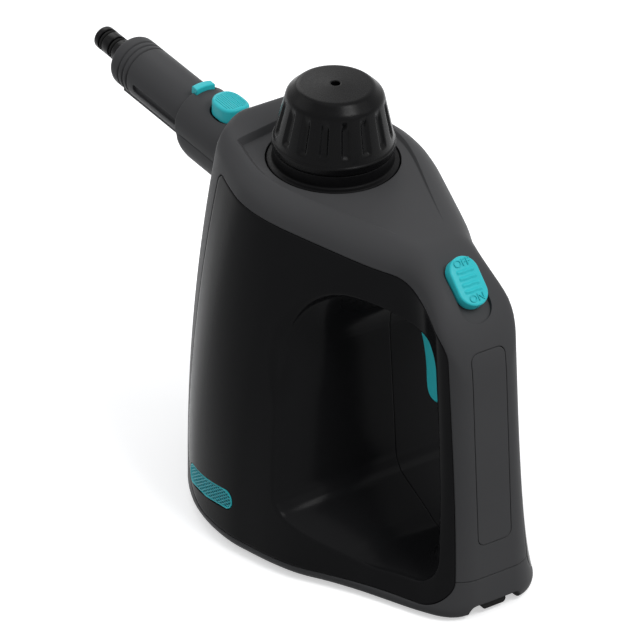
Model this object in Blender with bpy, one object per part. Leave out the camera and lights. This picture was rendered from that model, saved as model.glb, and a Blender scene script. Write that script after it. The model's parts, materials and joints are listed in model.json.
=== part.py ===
# Handheld steam cleaner: a jug-shaped housing with a hand opening through it, a screw-down
# safety cap on the boiler, a pull-off nozzle on the front and a trigger inside the grip.
# Metres, +Z up, nozzle towards -X, grip towards +X. The origin is on the floor, under the
# middle of the whole object.

import math

import bmesh
import bpy
from mathutils import Matrix, Vector

for old in list(bpy.data.objects):
    bpy.data.objects.remove(old, do_unlink=True)

# Driving dimensions of the whole object. x runs from the cap's axis, z from the housing's bottom.
BODY_LENGTH = 0.192
BODY_HEIGHT = 0.161
BASE_HALF_WIDTH = 0.067
DECK_HALF_WIDTH = 0.041
NOSE_TO_CAP = 0.074
TOP_TILT = math.radians(2.7)
TIP_REACH = 0.180
NOZZLE_DROP = 0.0312
WALL = 0.0025
GAP = 0.0003
OVERRUN = 0.02
SHARP_ANGLE = math.radians(32)

# Fineness of the curves.
ROUND_STEPS = 32
SMALL_ROUND_STEPS = 18
INSIDE_STEPS = 24
PIN_STEPS = 12
CORNER_STEPS = 6
BOX_CORNER_STEPS = 4
EDGE_STEPS = 3
INNER_EDGE_STEPS = 2
EDGE_SHARE = 0.9
ROUND_END_SHARE = 0.97
SIDE_STEPS = 7
INNER_SIDE_STEPS = 4
INNER_CORNER_STEPS = 4
LEAN_STEPS = 4
HALF = 0.5
QUARTER = 0.25

# Housing surface.
RIM_TILT = math.radians(4.1)
RIM_RISE = 0.00165
NOSE_LEAN = 0.019
NOSE_RUN = 0.030
NOSE_FLAT = 0.008
NOSE_TOP_RADIUS = 0.014
NOSE_LEAN_REACH_SHARE = 0.23
REAR_LEAN = math.radians(4.16)
REAR_LEAN_START_SHARE = 0.70
REAR_LEAN_END_SHARE = 0.93
REAR_LEAN_MIDDLE_SHARE = 0.42
REAR_TOP_RADIUS = 0.040
REAR_CORNER_RADIUS = 0.012
DECK_EDGE_RADIUS = 0.009
BASE_EDGE_RADIUS = 0.006
FLARE_START_SHARE = 0.70
FLARE_END_SHARE = 0.91
FRONT_FLARE_POWER = 2
REAR_FLARE_POWER = 5
LEAST_RADIUS = 0.001

# Half width of the housing along its length: place along the body, width at the floor and
# width at the deck, as shares of BODY_LENGTH, BASE_HALF_WIDTH and DECK_HALF_WIDTH.
WIDTH_SHARES = (
    (0.000, 0.450, 0.585),
    (0.073, 0.567, 0.695),
    (0.125, 0.642, 0.756),
    (0.188, 0.754, 0.817),
    (0.240, 0.850, 0.878),
    (0.302, 0.933, 0.951),
    (0.359, 0.978, 0.995),
    (0.422, 1.000, 0.976),
    (0.484, 0.996, 0.900),
    (0.536, 0.967, 0.812),
    (0.604, 0.918, 0.690),
    (0.667, 0.850, 0.580),
    (0.729, 0.742, 0.480),
    (0.786, 0.650, 0.412),
    (0.844, 0.567, 0.395),
    (0.896, 0.493, 0.415),
    (0.948, 0.410, 0.459),
    (1.000, 0.328, 0.488),
)

# Hull stations: degrees round the nose and round the rear, and places between them as shares.
NOSE_STATIONS = (0, 15, 30, 45, 60, 75, 90)
REAR_STATIONS = (0, 15, 30, 42, 52, 62, 72, 81, 90)
MIDDLE_STATIONS = 11
INNER_MIDDLE_STATIONS = 7

# Recess in the deck round the cap, and the filler hole.
DISH_DEPTH = 0.0025
DISH_RADIUS = 0.0347
DISH_MARGIN = 0.0063
DISH_END = 0.075
DISH_TURN_START = math.radians(82)
DISH_TURN_STEPS = 20
DISH_SIDE_STEPS = 8
FILLER_HOLE_RADIUS = 0.0288

# Bottom parting line, and the arched recess where the cord would leave.
PARTING_HEIGHT = 0.0182
ARCH_HEIGHT = 0.0055
ARCH_HALF_WIDTH = 0.0130
ARCH_START = 0.096
ARCH_RADIUS = 0.0035
GLAND_HALF_WIDTH = 0.0060
GLAND_LOW = 0.0013
GLAND_HIGH = 0.0050
GLAND_END = 0.1206
GLAND_RADIUS = 0.0018
GLAND_FLANGE_LENGTH = 0.0030
GLAND_FLANGE_HALF_WIDTH = 0.0080
GLAND_FLANGE_HIGH = 0.0105

# Side panel and hand opening seen from the side. A corner is its place behind the nose as a share
# of BODY_LENGTH, then its height and its radius as shares of BODY_HEIGHT.
PANEL_CORNER_SHARES = (
    (0.229, 0.960, 0.019),
    (0.939, 0.932, 0.155),
    (1.005, 0.031, 0.075),
    (0.224, 0.043, 0.186),
)
MOUTH_CORNER_SHARES = (
    (0.549, 0.888, 0.186),
    (0.922, 0.764, 0.087),
    (0.982, 0.081, 0.075),
    (0.813, 0.078, 0.155),
    (0.609, 0.180, 0.075),
)
# The panels lie outside this share of the width, so the deck stays whole between them.
CORE_WIDTH_SHARE = 0.75
CORE_GAP_SHARE = 1.03
CORE_HEIGHT_SHARE = 1.02
# The hand opening narrows towards the middle of the grip. Places across it are shares of the half
# width there, from the near mouth to a little past the middle.
MOUTH_CENTRE_X = 0.072
MOUTH_CENTRE_Z = 0.075
MOUTH_POINT_SPACING = 0.012
TUNNEL_SHARES = (-1.05, -1.01, -0.96, -0.90, -0.81, -0.68, -0.48, -0.24, 0.0)
TUNNEL_WALL_SHARES = (-1.05, -0.98, -0.87, -0.68, -0.38, 0.0)
FRONT_PINCH_SHARE = 0.19
REAR_PINCH_SHARE = 0.40
HEIGHT_PINCH_SHARE = 0.10
PINCH_POWER = 3
SCOOP_REACH = 0.010
SCOOP_POWER = 9
SCOOP_ANGLE = math.radians(135)
SCOOP_SPREAD = math.radians(50)

# Rear cover of the grip.
COVER_LOW = 0.0335
COVER_HIGH = 0.1228
COVER_HALF_WIDTH = 0.0083
COVER_RADIUS = 0.0035
COVER_THICKNESS = 0.0014
COVER_START = 0.095

# Power switch. It lies on the slope at the top of the grip and slides down it.
SWITCH_X = 0.0978
SWITCH_Z = 0.1478
SWITCH_SLOPE = math.radians(44.5)
SWITCH_LENGTH = 0.0214
SWITCH_HALF_WIDTH = 0.0067
SWITCH_RISE = 0.0014
SWITCH_TRAVEL = 0.0055
RECESS_SIDE = 0.0007
RECESS_DEPTH = 0.0032
STEM_LENGTH = 0.005
STEM_HALF_WIDTH = 0.0015
SWITCH_BODY_START = -0.0100
SWITCH_BODY_END = 0.0070
SWITCH_BLADES = (-0.0080, -0.0055, -0.0030)
SWITCH_BLADE_LENGTH = 0.0030
SWITCH_BODY_HALF_WIDTH = 0.006
SWITCH_BODY_TOP = 0.0088
SWITCH_BODY_DEPTH = 0.0055
SWITCH_BODY_RADIUS = 0.001
SWITCH_TERMINAL = 0.0008

# Trigger. Its side outline is in shares of its height below the pin.
TRIGGER_PIN_X = 0.086
TRIGGER_PIN_Z = 0.131
TRIGGER_HEIGHT = 0.0441
TRIGGER_HALF_WIDTH = 0.008
TRIGGER_WALL = 0.002
TRIGGER_EDGE = 0.0012
TRIGGER_EDGE_SHARES = ((-1, 1, 0), (-1, 0.3, 0.3), (-1, 0, 1), (1, 0, 1), (1, 0.3, 0.3), (1, 1, 0))
TRIGGER_SHARES = (
    (-0.295, 0.030),
    (-0.300, -0.110),
    (-0.265, -0.245),
    (-0.195, -0.400),
    (-0.150, -0.560),
    (-0.130, -0.710),
    (-0.125, -0.850),
    (-0.100, -0.940),
    (-0.040, -0.995),
    (0.060, -0.990),
    (0.215, -0.950),
    (0.250, -0.820),
    (0.240, -0.290),
    (0.075, 0.105),
    (-0.120, 0.110),
)
TRIGGER_POCKET_SHARES = (
    (-0.020, -0.200),
    (0.020, -0.480),
    (0.030, -0.780),
    (0.500, -0.780),
    (0.500, -0.200),
)
TRIGGER_SLOT_FRONT = 0.0722
TRIGGER_SLOT_REAR = 0.105
TRIGGER_SLOT_LOW = 0.0858
TRIGGER_SLOT_HIGH = 0.138
PIN_RADIUS = 0.0015
PIN_HALF_LENGTH = 0.0112
LUG_THICKNESS = 0.003
LUG_RADIUS = 0.004
LUG_DROP = 0.012
MICROSWITCH_FRONT = 0.1002
MICROSWITCH_REAR = 0.1104
MICROSWITCH_LOW = 0.107
MICROSWITCH_HIGH = 0.121
MICROSWITCH_HALF_WIDTH = 0.0032
MICROSWITCH_BUTTON_Z = 0.116
MICROSWITCH_BUTTON_RADIUS = 0.001
MICROSWITCH_BUTTON_LENGTH = 0.0007

# Screws into the base, and the rubber feet.
SCREW_RADIUS = 0.0015
SCREW_LENGTH = 0.0125
SCREW_HEAD_RADIUS = 0.0030
SCREW_HEAD_HEIGHT = 0.0011
SCREW_HEAD_DEPTH = 0.0003
SCREW_SLOT = 0.0008
BOSS_RADIUS = 0.0040
NOSE_BOSS_X = -0.0645
NOSE_BOSS_LOW = 0.0038
NOSE_BOSS_TOP = 0.085
SIDE_BOSS_X = 0.062
SIDE_BOSS_Y = 0.024
SIDE_BOSS_TOP = 0.0258
FOOT_RADIUS = 0.0050
FOOT_RISE = 0.0012
FOOT_SEAT = 0.0010
FOOT_EDGE = 0.0006
FRONT_FOOT_X = -0.046
FRONT_FOOT_Y = 0.027
REAR_FOOT_X = 0.100
REAR_FOOT_Y = 0.0205

# Pill-shaped inlay low on the near side panel.
BADGE_LENGTH = 0.040
BADGE_WIDTH = 0.0088
BADGE_X = 0.0005
BADGE_Z = 0.0203
BADGE_TILT = math.radians(9)
BADGE_DEPTH = 0.0010

# Safety cap, from the plane of the deck recess up.
CAP_LOW = 0.0066
CAP_BAND_TOP = 0.0105
CAP_SHOULDER = 0.0317
CAP_TOP = 0.0366
CAP_DOME = 0.0008
CAP_SKIRT_RADIUS = 0.0262
CAP_SHOULDER_RADIUS = 0.02075
CAP_TOP_RADIUS = 0.0162
CAP_SHELL = 0.0022
CAP_HOLE_RADIUS = 0.0020
CAP_HUB_RADIUS = 0.0118
CAP_HUB_WALL = 0.0022
CAP_ROUND = 0.0008
DOME_MIDDLE_SHARE = 0.75
CAP_HUB_LOW = 0.0215
CAP_STEPS = 48
FLUTES = 16
FLUTE_LOW = 0.0128
FLUTE_HIGH = 0.0300
FLUTE_RADIUS = 0.0016
FLUTE_SINK = 0.0003
FLUTE_STEPS = 8
FLUTE_SHARES = ((0.0, 0.15), (0.03, 0.70), (0.09, 1.0), (0.50, 0.85), (0.85, 0.60), (1.0, 0.10))

# Black ring below the cap, and the stopper with its seal, spring and valve.
RING_RADIUS = 0.0282
RING_LOW = -0.0070
RING_LIP = 0.0004
RING_WALL_RADIUS = 0.0258
RING_TOP = 0.0063
NECK_RADIUS = 0.0190
NECK_BORE = 0.0170
NECK_TOP = 0.0050
SEAL_THICKNESS = 0.0018
SEAL_GAP = 0.0001
PLUG_RADIUS = 0.0166
PLUG_CORE_RADIUS = 0.0154
PLUG_LOW = -0.0100
PLUG_RIDGES = 2
PLUG_FLANGE_THICKNESS = 0.0024
PLUG_HUB_RADIUS = 0.0085
PLUG_HUB_TOP = 0.0210
PLUG_BORE = 0.0050
SPRING_RADIUS = 0.0103
SPRING_WIRE = 0.0008
SPRING_TURNS = 4
SPRING_STEPS = 12
SPRING_WIRE_STEPS = 5
SPRING_END_GAP = 0.0004
VALVE_RADIUS = 0.0046
VALVE_LOW = -0.0125
VALVE_HEX_RADIUS = 0.0070
VALVE_HEX_HEIGHT = 0.0035
VALVE_BORE = 0.0012

# Boiler and what sits on it.
BOILER_LOW = -0.1270
BOILER_RADIUS = 0.0260
BOILER_WALL = 0.0020
BOILER_FLAT_RADIUS = 0.0180
BOILER_BOTTOM_ROUND = 0.0070
BOILER_SHOULDER_LOW = -0.0600
BOILER_SHOULDER_HIGH = -0.0430
ELEMENT_RADIUS = 0.0170
ELEMENT_TUBE_RADIUS = 0.0030
ELEMENT_STEPS = 22
ELEMENT_TUBE_STEPS = 8
ELEMENT_GAP_ANGLE = math.radians(40)
THERMOSTAT_RADIUS = 0.0080
THERMOSTAT_HEIGHT = 0.0055
THERMOSTAT_CAN_RADIUS = 0.0060
THERMOSTAT_CAN_HEIGHT = 0.0030
FUSE_HALF_WIDTH = 0.0035
FUSE_THICKNESS = 0.0038
FUSE_LOW = -0.0950
FUSE_HIGH = -0.0780
FUSE_RADIUS = 0.0010
STRAP_GAP = 0.0004
STRAP_THICKNESS = 0.0015
STRAP_LOW = -0.1120
STRAP_HIGH = -0.1020
LEG_WIDTH = 0.0080
LEG_LOW = -0.1560
LEG_FOOT = 0.0080
LEG_COUNT = 4
PIPE_RADIUS = 0.0030
PIPE_BORE = 0.0018
VALVE_BLOCK_FRONT = 0.0500
VALVE_BLOCK_REAR = 0.0340
VALVE_BLOCK_HALF_WIDTH = 0.0100
VALVE_BLOCK_RISE = 0.0080
VALVE_BLOCK_ROUND = 0.0015
COIL_RADIUS = 0.0080
COIL_HEIGHT = 0.0150

# Nozzle collar and its lower shell. Lengths run forward from the cap's axis.
COLLAR_RADIUS = 0.0145
COLLAR_BORE = 0.0080
COLLAR_REAR = 0.0503
COLLAR_FRONT = 0.1000
COLLAR_FLANGE_RADIUS = 0.0162
COLLAR_FLANGE_FRONT = 0.0520
COLLAR_EDGE = 0.0010
SHELL_REAR = 0.0560
SHELL_FRONT = 0.0970
SHELL_HALF_WIDTH = 0.0128
SHELL_LOW = -0.0183
SHELL_HIGH = -0.0040
SHELL_ROUND = 0.0060

# Release lever. Heights are above the nozzle's axis.
LEVER_PIVOT_PLACE = 0.0885
LEVER_PIVOT_Z = 0.01125
PAD_PLACE = 0.0780
PAD_HALF_LENGTH = 0.0085
PAD_HALF_WIDTH = 0.0070
PAD_TOP = 0.0185
PAD_CROWN = 0.0010
PAD_LOW = 0.0124
PAD_STEPS = 28
OVAL_POWER = 2.6
PAD_SHARES = ((0.0, 0.97), (0.12, 1.0), (0.72, 1.0), (0.90, 0.94), (1.0, 0.82))
POCKET_FLOOR = 0.0093
POCKET_SIDE = 0.0006
LINK_LOW = 0.0099
LINK_HIGH = 0.0126
LINK_HALF_WIDTH = 0.0030
CHANNEL_HIGH = 0.0131
CHANNEL_SIDE = 0.0004
BAR_REAR = 0.0948
BAR_FRONT = 0.1022
BAR_HALF_WIDTH = 0.0056
BAR_LOW = 0.0124
BAR_TOP_RADIUS = 0.0167
BAR_EDGE = 0.0008
LEVER_POST = 0.0015
LEVER_PIN_RADIUS = 0.0006
LEVER_PIN_HALF_LENGTH = 0.0065

# Nozzle tube, its keel, its tip and the rubber rings on the tip.
TUBE_RADIUS = 0.0120
TUBE_REAR = 0.1003
TUBE_FRONT = 0.1570
TUBE_EDGE = 0.0012
TUBE_GROOVES = (0.1462, 0.1493, 0.1524)
GROOVE_WIDTH = 0.0009
GROOVE_DEPTH = 0.0007
SPIGOT_RADIUS = 0.0077
SPIGOT_END = 0.0840
TUBE_BORE = 0.0050
FEED_BORE = 0.0025
FEED_START = 0.1205
SOCKET_START = 0.1480
SOCKET_RADIUS = 0.0057
KEEL_HALF_WIDTH = 0.0072
KEEL_LOW = -0.0118
KEEL_REAR = 0.1030
KEEL_FRONT = 0.1545
KEEL_ROUND = 0.0010
SIDE_SLOT_HALF_WIDTH = 0.0013
SIDE_SLOT_DEPTH = 0.0008
SIDE_SLOT_ANGLE = math.radians(27)
SIDE_SLOT_REAR = 0.1045
SIDE_SLOT_FRONT = 0.1400
FEED_PIPE_RADIUS = 0.0040
FEED_PIPE_END = 0.1180
TIP_RADIUS = 0.0054
TIP_ROOT = 0.1485
TIP_BORE = 0.0018
TIP_EDGE = 0.0010
TIP_GROOVES = (0.1672, 0.1750)
TIP_GROOVE_WIDTH = 0.0030
TIP_GROOVE_RADIUS = 0.0039
O_RING_RADIUS = 0.0007
O_RING_STEPS = 6

# The origin lies under the middle of the whole length.
FRONT_REACH = TIP_REACH * math.cos(TOP_TILT) + (NOZZLE_DROP + TIP_RADIUS) * math.sin(TOP_TILT)
REAR_LEAN_REACH = (BODY_HEIGHT * REAR_LEAN_MIDDLE_SHARE - BASE_EDGE_RADIUS) * math.tan(REAR_LEAN)
CAP_X = (FRONT_REACH - (BODY_LENGTH - NOSE_TO_CAP + REAR_LEAN_REACH)) / 2
TOP_FRAME = Matrix.Translation((0, 0, BODY_HEIGHT)) @ Matrix.Rotation(TOP_TILT, 4, "Y")
NOZZLE_FRAME = TOP_FRAME @ Matrix.Translation((0, 0, -NOZZLE_DROP)) @ Matrix.Rotation(-math.pi / 2, 4, "Y")


def clamp01(value):
    return max(0.0, min(1.0, value))


def smooth_step(low, high, value):
    t = clamp01((value - low) / (high - low))
    return t * t * (3 - 2 * t)


def spline_value(place, column):
    # Smooth curve through one column of WIDTH_SHARES.
    rows = WIDTH_SHARES
    place = clamp01(place)
    i = 0
    while i < len(rows) - 2 and place > rows[i + 1][0]:
        i += 1
    before = rows[max(i - 1, 0)]
    start = rows[i]
    end = rows[i + 1]
    after = rows[min(i + 2, len(rows) - 1)]
    span = end[0] - start[0]
    slope0 = (end[column] - before[column]) / (end[0] - before[0])
    slope1 = (after[column] - start[column]) / (after[0] - start[0])
    t = (place - start[0]) / span
    h1 = t * t * (3 - 2 * t)
    h2 = t * (1 - t) * (1 - t)
    h3 = t * t * (t - 1)
    rise = start[column] + (end[column] - start[column]) * h1
    return rise + span * (slope0 * h2 + slope1 * h3)


def round_off(distance, radius):
    # How far a rounded edge of this radius has drawn back, this far from the end face.
    if distance >= radius:
        return 0.0
    left = radius - max(distance, 0.0)
    return radius - math.sqrt(max(radius * radius - left * left, 0.0))


def deck_height(s, inset):
    # Height of the deck line at this distance behind the nose, in the upright body.
    x = s - NOSE_TO_CAP
    top = BODY_HEIGHT + RIM_RISE - math.tan(RIM_TILT) * x - inset
    top -= round_off(s - inset, NOSE_TOP_RADIUS - inset)
    return top - round_off(BODY_LENGTH - inset - s, REAR_TOP_RADIUS - inset)


def floor_height(s, inset):
    radius = max(BASE_EDGE_RADIUS - inset, LEAST_RADIUS)
    low = inset + round_off(s - inset, radius)
    return low + round_off(BODY_LENGTH - inset - s, radius)


def half_width(s, z, inset):
    place = s / BODY_LENGTH
    base = BASE_HALF_WIDTH * spline_value(place, 1)
    deck = DECK_HALF_WIDTH * spline_value(place, 2)
    depth = 1 - clamp01(z / BODY_HEIGHT)
    front = 1 - (1 - depth) ** FRONT_FLARE_POWER
    rear = depth ** REAR_FLARE_POWER
    mix = smooth_step(FLARE_START_SHARE, FLARE_END_SHARE, place)
    flare = front + (rear - front) * mix
    width = deck + (base - deck) * flare - inset
    run = NOSE_RUN - inset
    left = max(run - (s - inset), 0.0) / run
    width = NOSE_FLAT + (width - NOSE_FLAT) * math.sqrt(max(1 - left * left, 0.0))
    return width - round_off(BODY_LENGTH - inset - s, REAR_CORNER_RADIUS - inset)


def lean_shift(s, z):
    # The nose draws back towards the deck, and the grip's back leans forward.
    place = s / BODY_LENGTH
    depth = 1 - clamp01(z / BODY_HEIGHT)
    nose = NOSE_LEAN * (1 - depth) ** FRONT_FLARE_POWER
    nose *= 1 - smooth_step(0.0, NOSE_LEAN_REACH_SHARE, place)
    rear = (BODY_HEIGHT * REAR_LEAN_MIDDLE_SHARE - z) * math.tan(REAR_LEAN)
    return nose + rear * smooth_step(REAR_LEAN_START_SHARE, REAR_LEAN_END_SHARE, place)


def hull_place(x, z):
    # Distance behind the nose, in the upright body, of a point at this height. x is from the cap.
    s = x + NOSE_TO_CAP
    for _ in range(LEAN_STEPS):
        s = x + NOSE_TO_CAP - lean_shift(s, z)
    return max(0.0, min(BODY_LENGTH, s))


def outer_half_width(x, z):
    return half_width(hull_place(x, z), z, 0.0)


def solid_from(bm, name, material):
    bmesh.ops.recalc_face_normals(bm, faces=bm.faces)
    mesh = bpy.data.meshes.new(name)
    bm.to_mesh(mesh)
    bm.free()
    obj = bpy.data.objects.new(name, mesh)
    bpy.context.scene.collection.objects.link(obj)
    if material:
        mesh.materials.append(material)
    return obj


def loft(name, rings, material=None, closed=False):
    # Skin over rings of equal point counts. A ring of one point closes to a pole.
    bm = bmesh.new()
    made = [[bm.verts.new(p) for p in ring] for ring in rings]
    pairs = list(zip(made, made[1:]))
    if closed:
        pairs.append((made[-1], made[0]))
    for first, second in pairs:
        count = max(len(first), len(second))
        for i in range(count):
            j = (i + 1) % count
            corners = [first[i % len(first)], first[j % len(first)]]
            corners += [second[j % len(second)], second[i % len(second)]]
            bm.faces.new(list(dict.fromkeys(corners)))
    if not closed:
        for ring in (made[0], made[-1]):
            if len(ring) > 2:
                bm.faces.new(ring)
    return solid_from(bm, name, material)


def lathe(name, profile, material=None, steps=ROUND_STEPS, closed=False):
    # Turned solid about Z from (radius, height) points.
    rings = []
    for radius, height in profile:
        if radius == 0:
            rings.append([Vector((0, 0, height))])
            continue
        turns = [math.tau * i / steps for i in range(steps)]
        rings.append([Vector((radius * math.cos(a), radius * math.sin(a), height)) for a in turns])
    return loft(name, rings, material, closed)


def rounded_outline(corners, steps=CORNER_STEPS):
    # Closed outline with an arc at each corner. A corner is (across, up, radius).
    points = []
    count = len(corners)
    for i, (x, z, radius) in enumerate(corners):
        here = Vector((x, z))
        back = (Vector(corners[i - 1][:2]) - here).normalized()
        ahead = (Vector(corners[(i + 1) % count][:2]) - here).normalized()
        half = back.angle(ahead) / 2
        centre = here + (back + ahead).normalized() * (radius / math.sin(half))
        reach = radius / math.tan(half)
        start = here + back * reach - centre
        end = here + ahead * reach - centre
        sweep = math.copysign(math.pi - 2 * half, start.cross(end))
        for k in range(steps + 1):
            points.append(centre + Matrix.Rotation(sweep * k / steps, 2) @ start)
    return points


def offset_outline(points, distance):
    # The same outline grown outwards by a distance. The points run clockwise or anticlockwise.
    count = len(points)
    area = sum(points[i - 1].cross(points[i]) for i in range(count))
    side = 1 if area > 0 else -1
    grown = []
    for i, point in enumerate(points):
        before = (point - points[i - 1]).normalized()
        after = (points[(i + 1) % count] - point).normalized()
        normal = Vector((before.y + after.y, -before.x - after.x)).normalized() * side
        spread = math.sqrt((1 + before.dot(after)) / 2)
        grown.append(point + normal * (distance / spread))
    return grown


def prism(name, outline, low, high, axis, material=None):
    # Straight solid over an outline. Its two coordinates fill the axes other than this one.
    spots = {
        "x": lambda p, d: (d, p.x, p.y),
        "y": lambda p, d: (p.x, d, p.y),
        "z": lambda p, d: (p.x, p.y, d),
    }
    place = spots[axis]
    rings = [[Vector(place(p, d)) for p in outline] for d in (low, high)]
    return loft(name, rings, material)


def box(name, low, high, material=None):
    corners = ((low[0], low[1]), (high[0], low[1]), (high[0], high[1]), (low[0], high[1]))
    return prism(name, [Vector(p) for p in corners], low[2], high[2], "z", material)


def rounded_box(name, low, high, radius, axis, material=None):
    # A box whose four edges along one axis are rounded.
    k = "xyz".index(axis)
    a, b = [i for i in range(3) if i != k]
    corners = [(low[a], low[b], radius), (high[a], low[b], radius)]
    corners += [(high[a], high[b], radius), (low[a], high[b], radius)]
    return prism(name, rounded_outline(corners, BOX_CORNER_STEPS), low[k], high[k], axis, material)


def bake(obj):
    # Replaces an object's mesh with the mesh its modifiers give.
    graph = bpy.context.evaluated_depsgraph_get()
    mesh = bpy.data.meshes.new_from_object(obj.evaluated_get(graph))
    old_mesh = obj.data
    obj.modifiers.clear()
    obj.data = mesh
    bpy.data.meshes.remove(old_mesh)


def combine(obj, other, operation, keep=False):
    bpy.context.view_layer.update()
    modifier = obj.modifiers.new(operation.title(), "BOOLEAN")
    modifier.object = other
    modifier.operation = operation
    modifier.solver = "EXACT"
    bake(obj)
    if not keep:
        bpy.data.objects.remove(other, do_unlink=True)
    return obj


def cut(obj, other, keep=False):
    return combine(obj, other, "DIFFERENCE", keep)


def join(obj, other, keep=False):
    return combine(obj, other, "UNION", keep)


def common(obj, other, keep=False):
    return combine(obj, other, "INTERSECT", keep)


def copy_of(obj, name):
    twin = obj.copy()
    twin.data = obj.data.copy()
    twin.name = name
    bpy.context.scene.collection.objects.link(twin)
    return twin


def merge_pieces(name, pieces, material):
    # Several separate solids in one object.
    bm = bmesh.new()
    for piece in pieces:
        bpy.context.view_layer.update()
        part = piece.data.copy()
        part.transform(piece.matrix_world)
        bm.from_mesh(part)
        bpy.data.meshes.remove(part)
        bpy.data.objects.remove(piece, do_unlink=True)
    mesh = bpy.data.meshes.new(name)
    bm.to_mesh(mesh)
    bm.free()
    mesh.materials.append(material)
    obj = bpy.data.objects.new(name, mesh)
    bpy.context.scene.collection.objects.link(obj)
    return obj


def nozzle_turned(name, profile, material=None, steps=ROUND_STEPS, closed=False):
    # Turned solid on the nozzle's axis from (radius, distance in front of the cap's axis) points.
    obj = lathe(name, profile, material, steps, closed)
    obj.data.transform(NOZZLE_FRAME)
    return obj


def nozzle_box(name, low, high, radius, axis="z"):
    # Box in the nozzle's frame: height over the axis, side, distance in front of the cap's axis.
    obj = rounded_box(name, low, high, radius, axis)
    obj.data.transform(NOZZLE_FRAME)
    return obj


def top_turned(name, profile, material=None, steps=ROUND_STEPS, closed=False):
    obj = lathe(name, profile, material, steps, closed)
    obj.data.transform(TOP_FRAME)
    return obj


def rod(name, radius, start, end, material=None, steps=PIN_STEPS):
    # Round bar between two points.
    start = Vector(start)
    along = Vector(end) - start
    obj = lathe(name, [(0, 0), (radius, 0), (radius, along.length), (0, along.length)], material, steps)
    turn = Vector((0, 0, 1)).rotation_difference(along).to_matrix().to_4x4()
    obj.data.transform(Matrix.Translation(start) @ turn)
    return obj


def pipe(name, radius, bore, start, end, material=None):
    obj = rod(name, radius, start, end, material, SMALL_ROUND_STEPS)
    reach = (Vector(end) - Vector(start)).normalized() * OVERRUN
    return cut(obj, rod("Bore", bore, Vector(start) - reach, Vector(end) + reach))


def hull_stations(inset, coarse):
    # Places along the housing where its sections stand. A coarse hull has about half of them.
    run = NOSE_RUN - inset
    tail = REAR_TOP_RADIUS - inset
    every = 2 if coarse else 1
    first = [inset + run * (1 - math.cos(math.radians(a))) for a in NOSE_STATIONS[::every]]
    last = [BODY_LENGTH - inset - tail * (1 - math.sin(math.radians(a))) for a in REAR_STATIONS[::every]]
    span = last[0] - first[-1]
    count = INNER_MIDDLE_STATIONS if coarse else MIDDLE_STATIONS
    middle = [first[-1] + span * (i + 1) / (count + 1) for i in range(count)]
    return first + middle + last


def hull_side(s, inset, deck_drop, coarse):
    # One side of a section of the housing, from the bottom to the deck, as (half width, height).
    low = floor_height(s, inset)
    high = deck_height(s, inset) - deck_drop
    low_radius = min(max(BASE_EDGE_RADIUS - inset, LEAST_RADIUS), half_width(s, low, inset) * EDGE_SHARE)
    top_radius = min(max(DECK_EDGE_RADIUS - inset, LEAST_RADIUS), half_width(s, high, inset) * EDGE_SHARE)
    side = []
    edge_steps = INNER_EDGE_STEPS if coarse else EDGE_STEPS
    side_steps = INNER_SIDE_STEPS if coarse else SIDE_STEPS
    for k in range(edge_steps + 1):
        angle = math.pi / 2 * k / edge_steps
        z = low + low_radius * (1 - math.cos(angle))
        side.append((half_width(s, z, inset) - low_radius * (1 - math.sin(angle)), z))
    start = low + low_radius
    span = high - top_radius - start
    for k in range(1, side_steps):
        z = start + span * k / side_steps
        side.append((half_width(s, z, inset), z))
    for k in range(edge_steps + 1):
        angle = math.pi / 2 * k / edge_steps
        z = high - top_radius * (1 - math.sin(angle))
        side.append((half_width(s, z, inset) - top_radius * (1 - math.cos(angle)), z))
    return side


def hull(name, inset=0.0, deck_drop=0.0, coarse=False):
    bm = bmesh.new()
    sections = []
    for s in hull_stations(inset, coarse):
        pairs = []
        for y, z in hull_side(s, inset, deck_drop, coarse):
            x = s - NOSE_TO_CAP + lean_shift(s, z)
            pairs.append((bm.verts.new((x, y, z)), bm.verts.new((x, -y, z))))
        sections.append(pairs)
    for first, second in zip(sections, sections[1:]):
        for i in range(len(first) - 1):
            for side in (0, 1):
                corners = (first[i], second[i], second[i + 1], first[i + 1])
                bm.faces.new([pair[side] for pair in corners])
        for i in (0, -1):
            bm.faces.new((first[i][0], first[i][1], second[i][1], second[i][0]))
    for pairs in (sections[0], sections[-1]):
        for lower, upper in zip(pairs, pairs[1:]):
            bm.faces.new((lower[0], lower[1], upper[1], upper[0]))
    return solid_from(bm, name, None)


def side_corners(shares):
    corners = []
    for place, height, radius in shares:
        x = place * BODY_LENGTH - NOSE_TO_CAP
        corners.append((x, height * BODY_HEIGHT, radius * BODY_HEIGHT))
    return corners


def spaced(outline, spacing):
    # The outline with points added on its long straight runs.
    points = []
    for i, point in enumerate(outline):
        after = outline[(i + 1) % len(outline)]
        pieces = max(1, round((after - point).length / spacing))
        points += [point.lerp(after, k / pieces) for k in range(pieces)]
    return points


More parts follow.
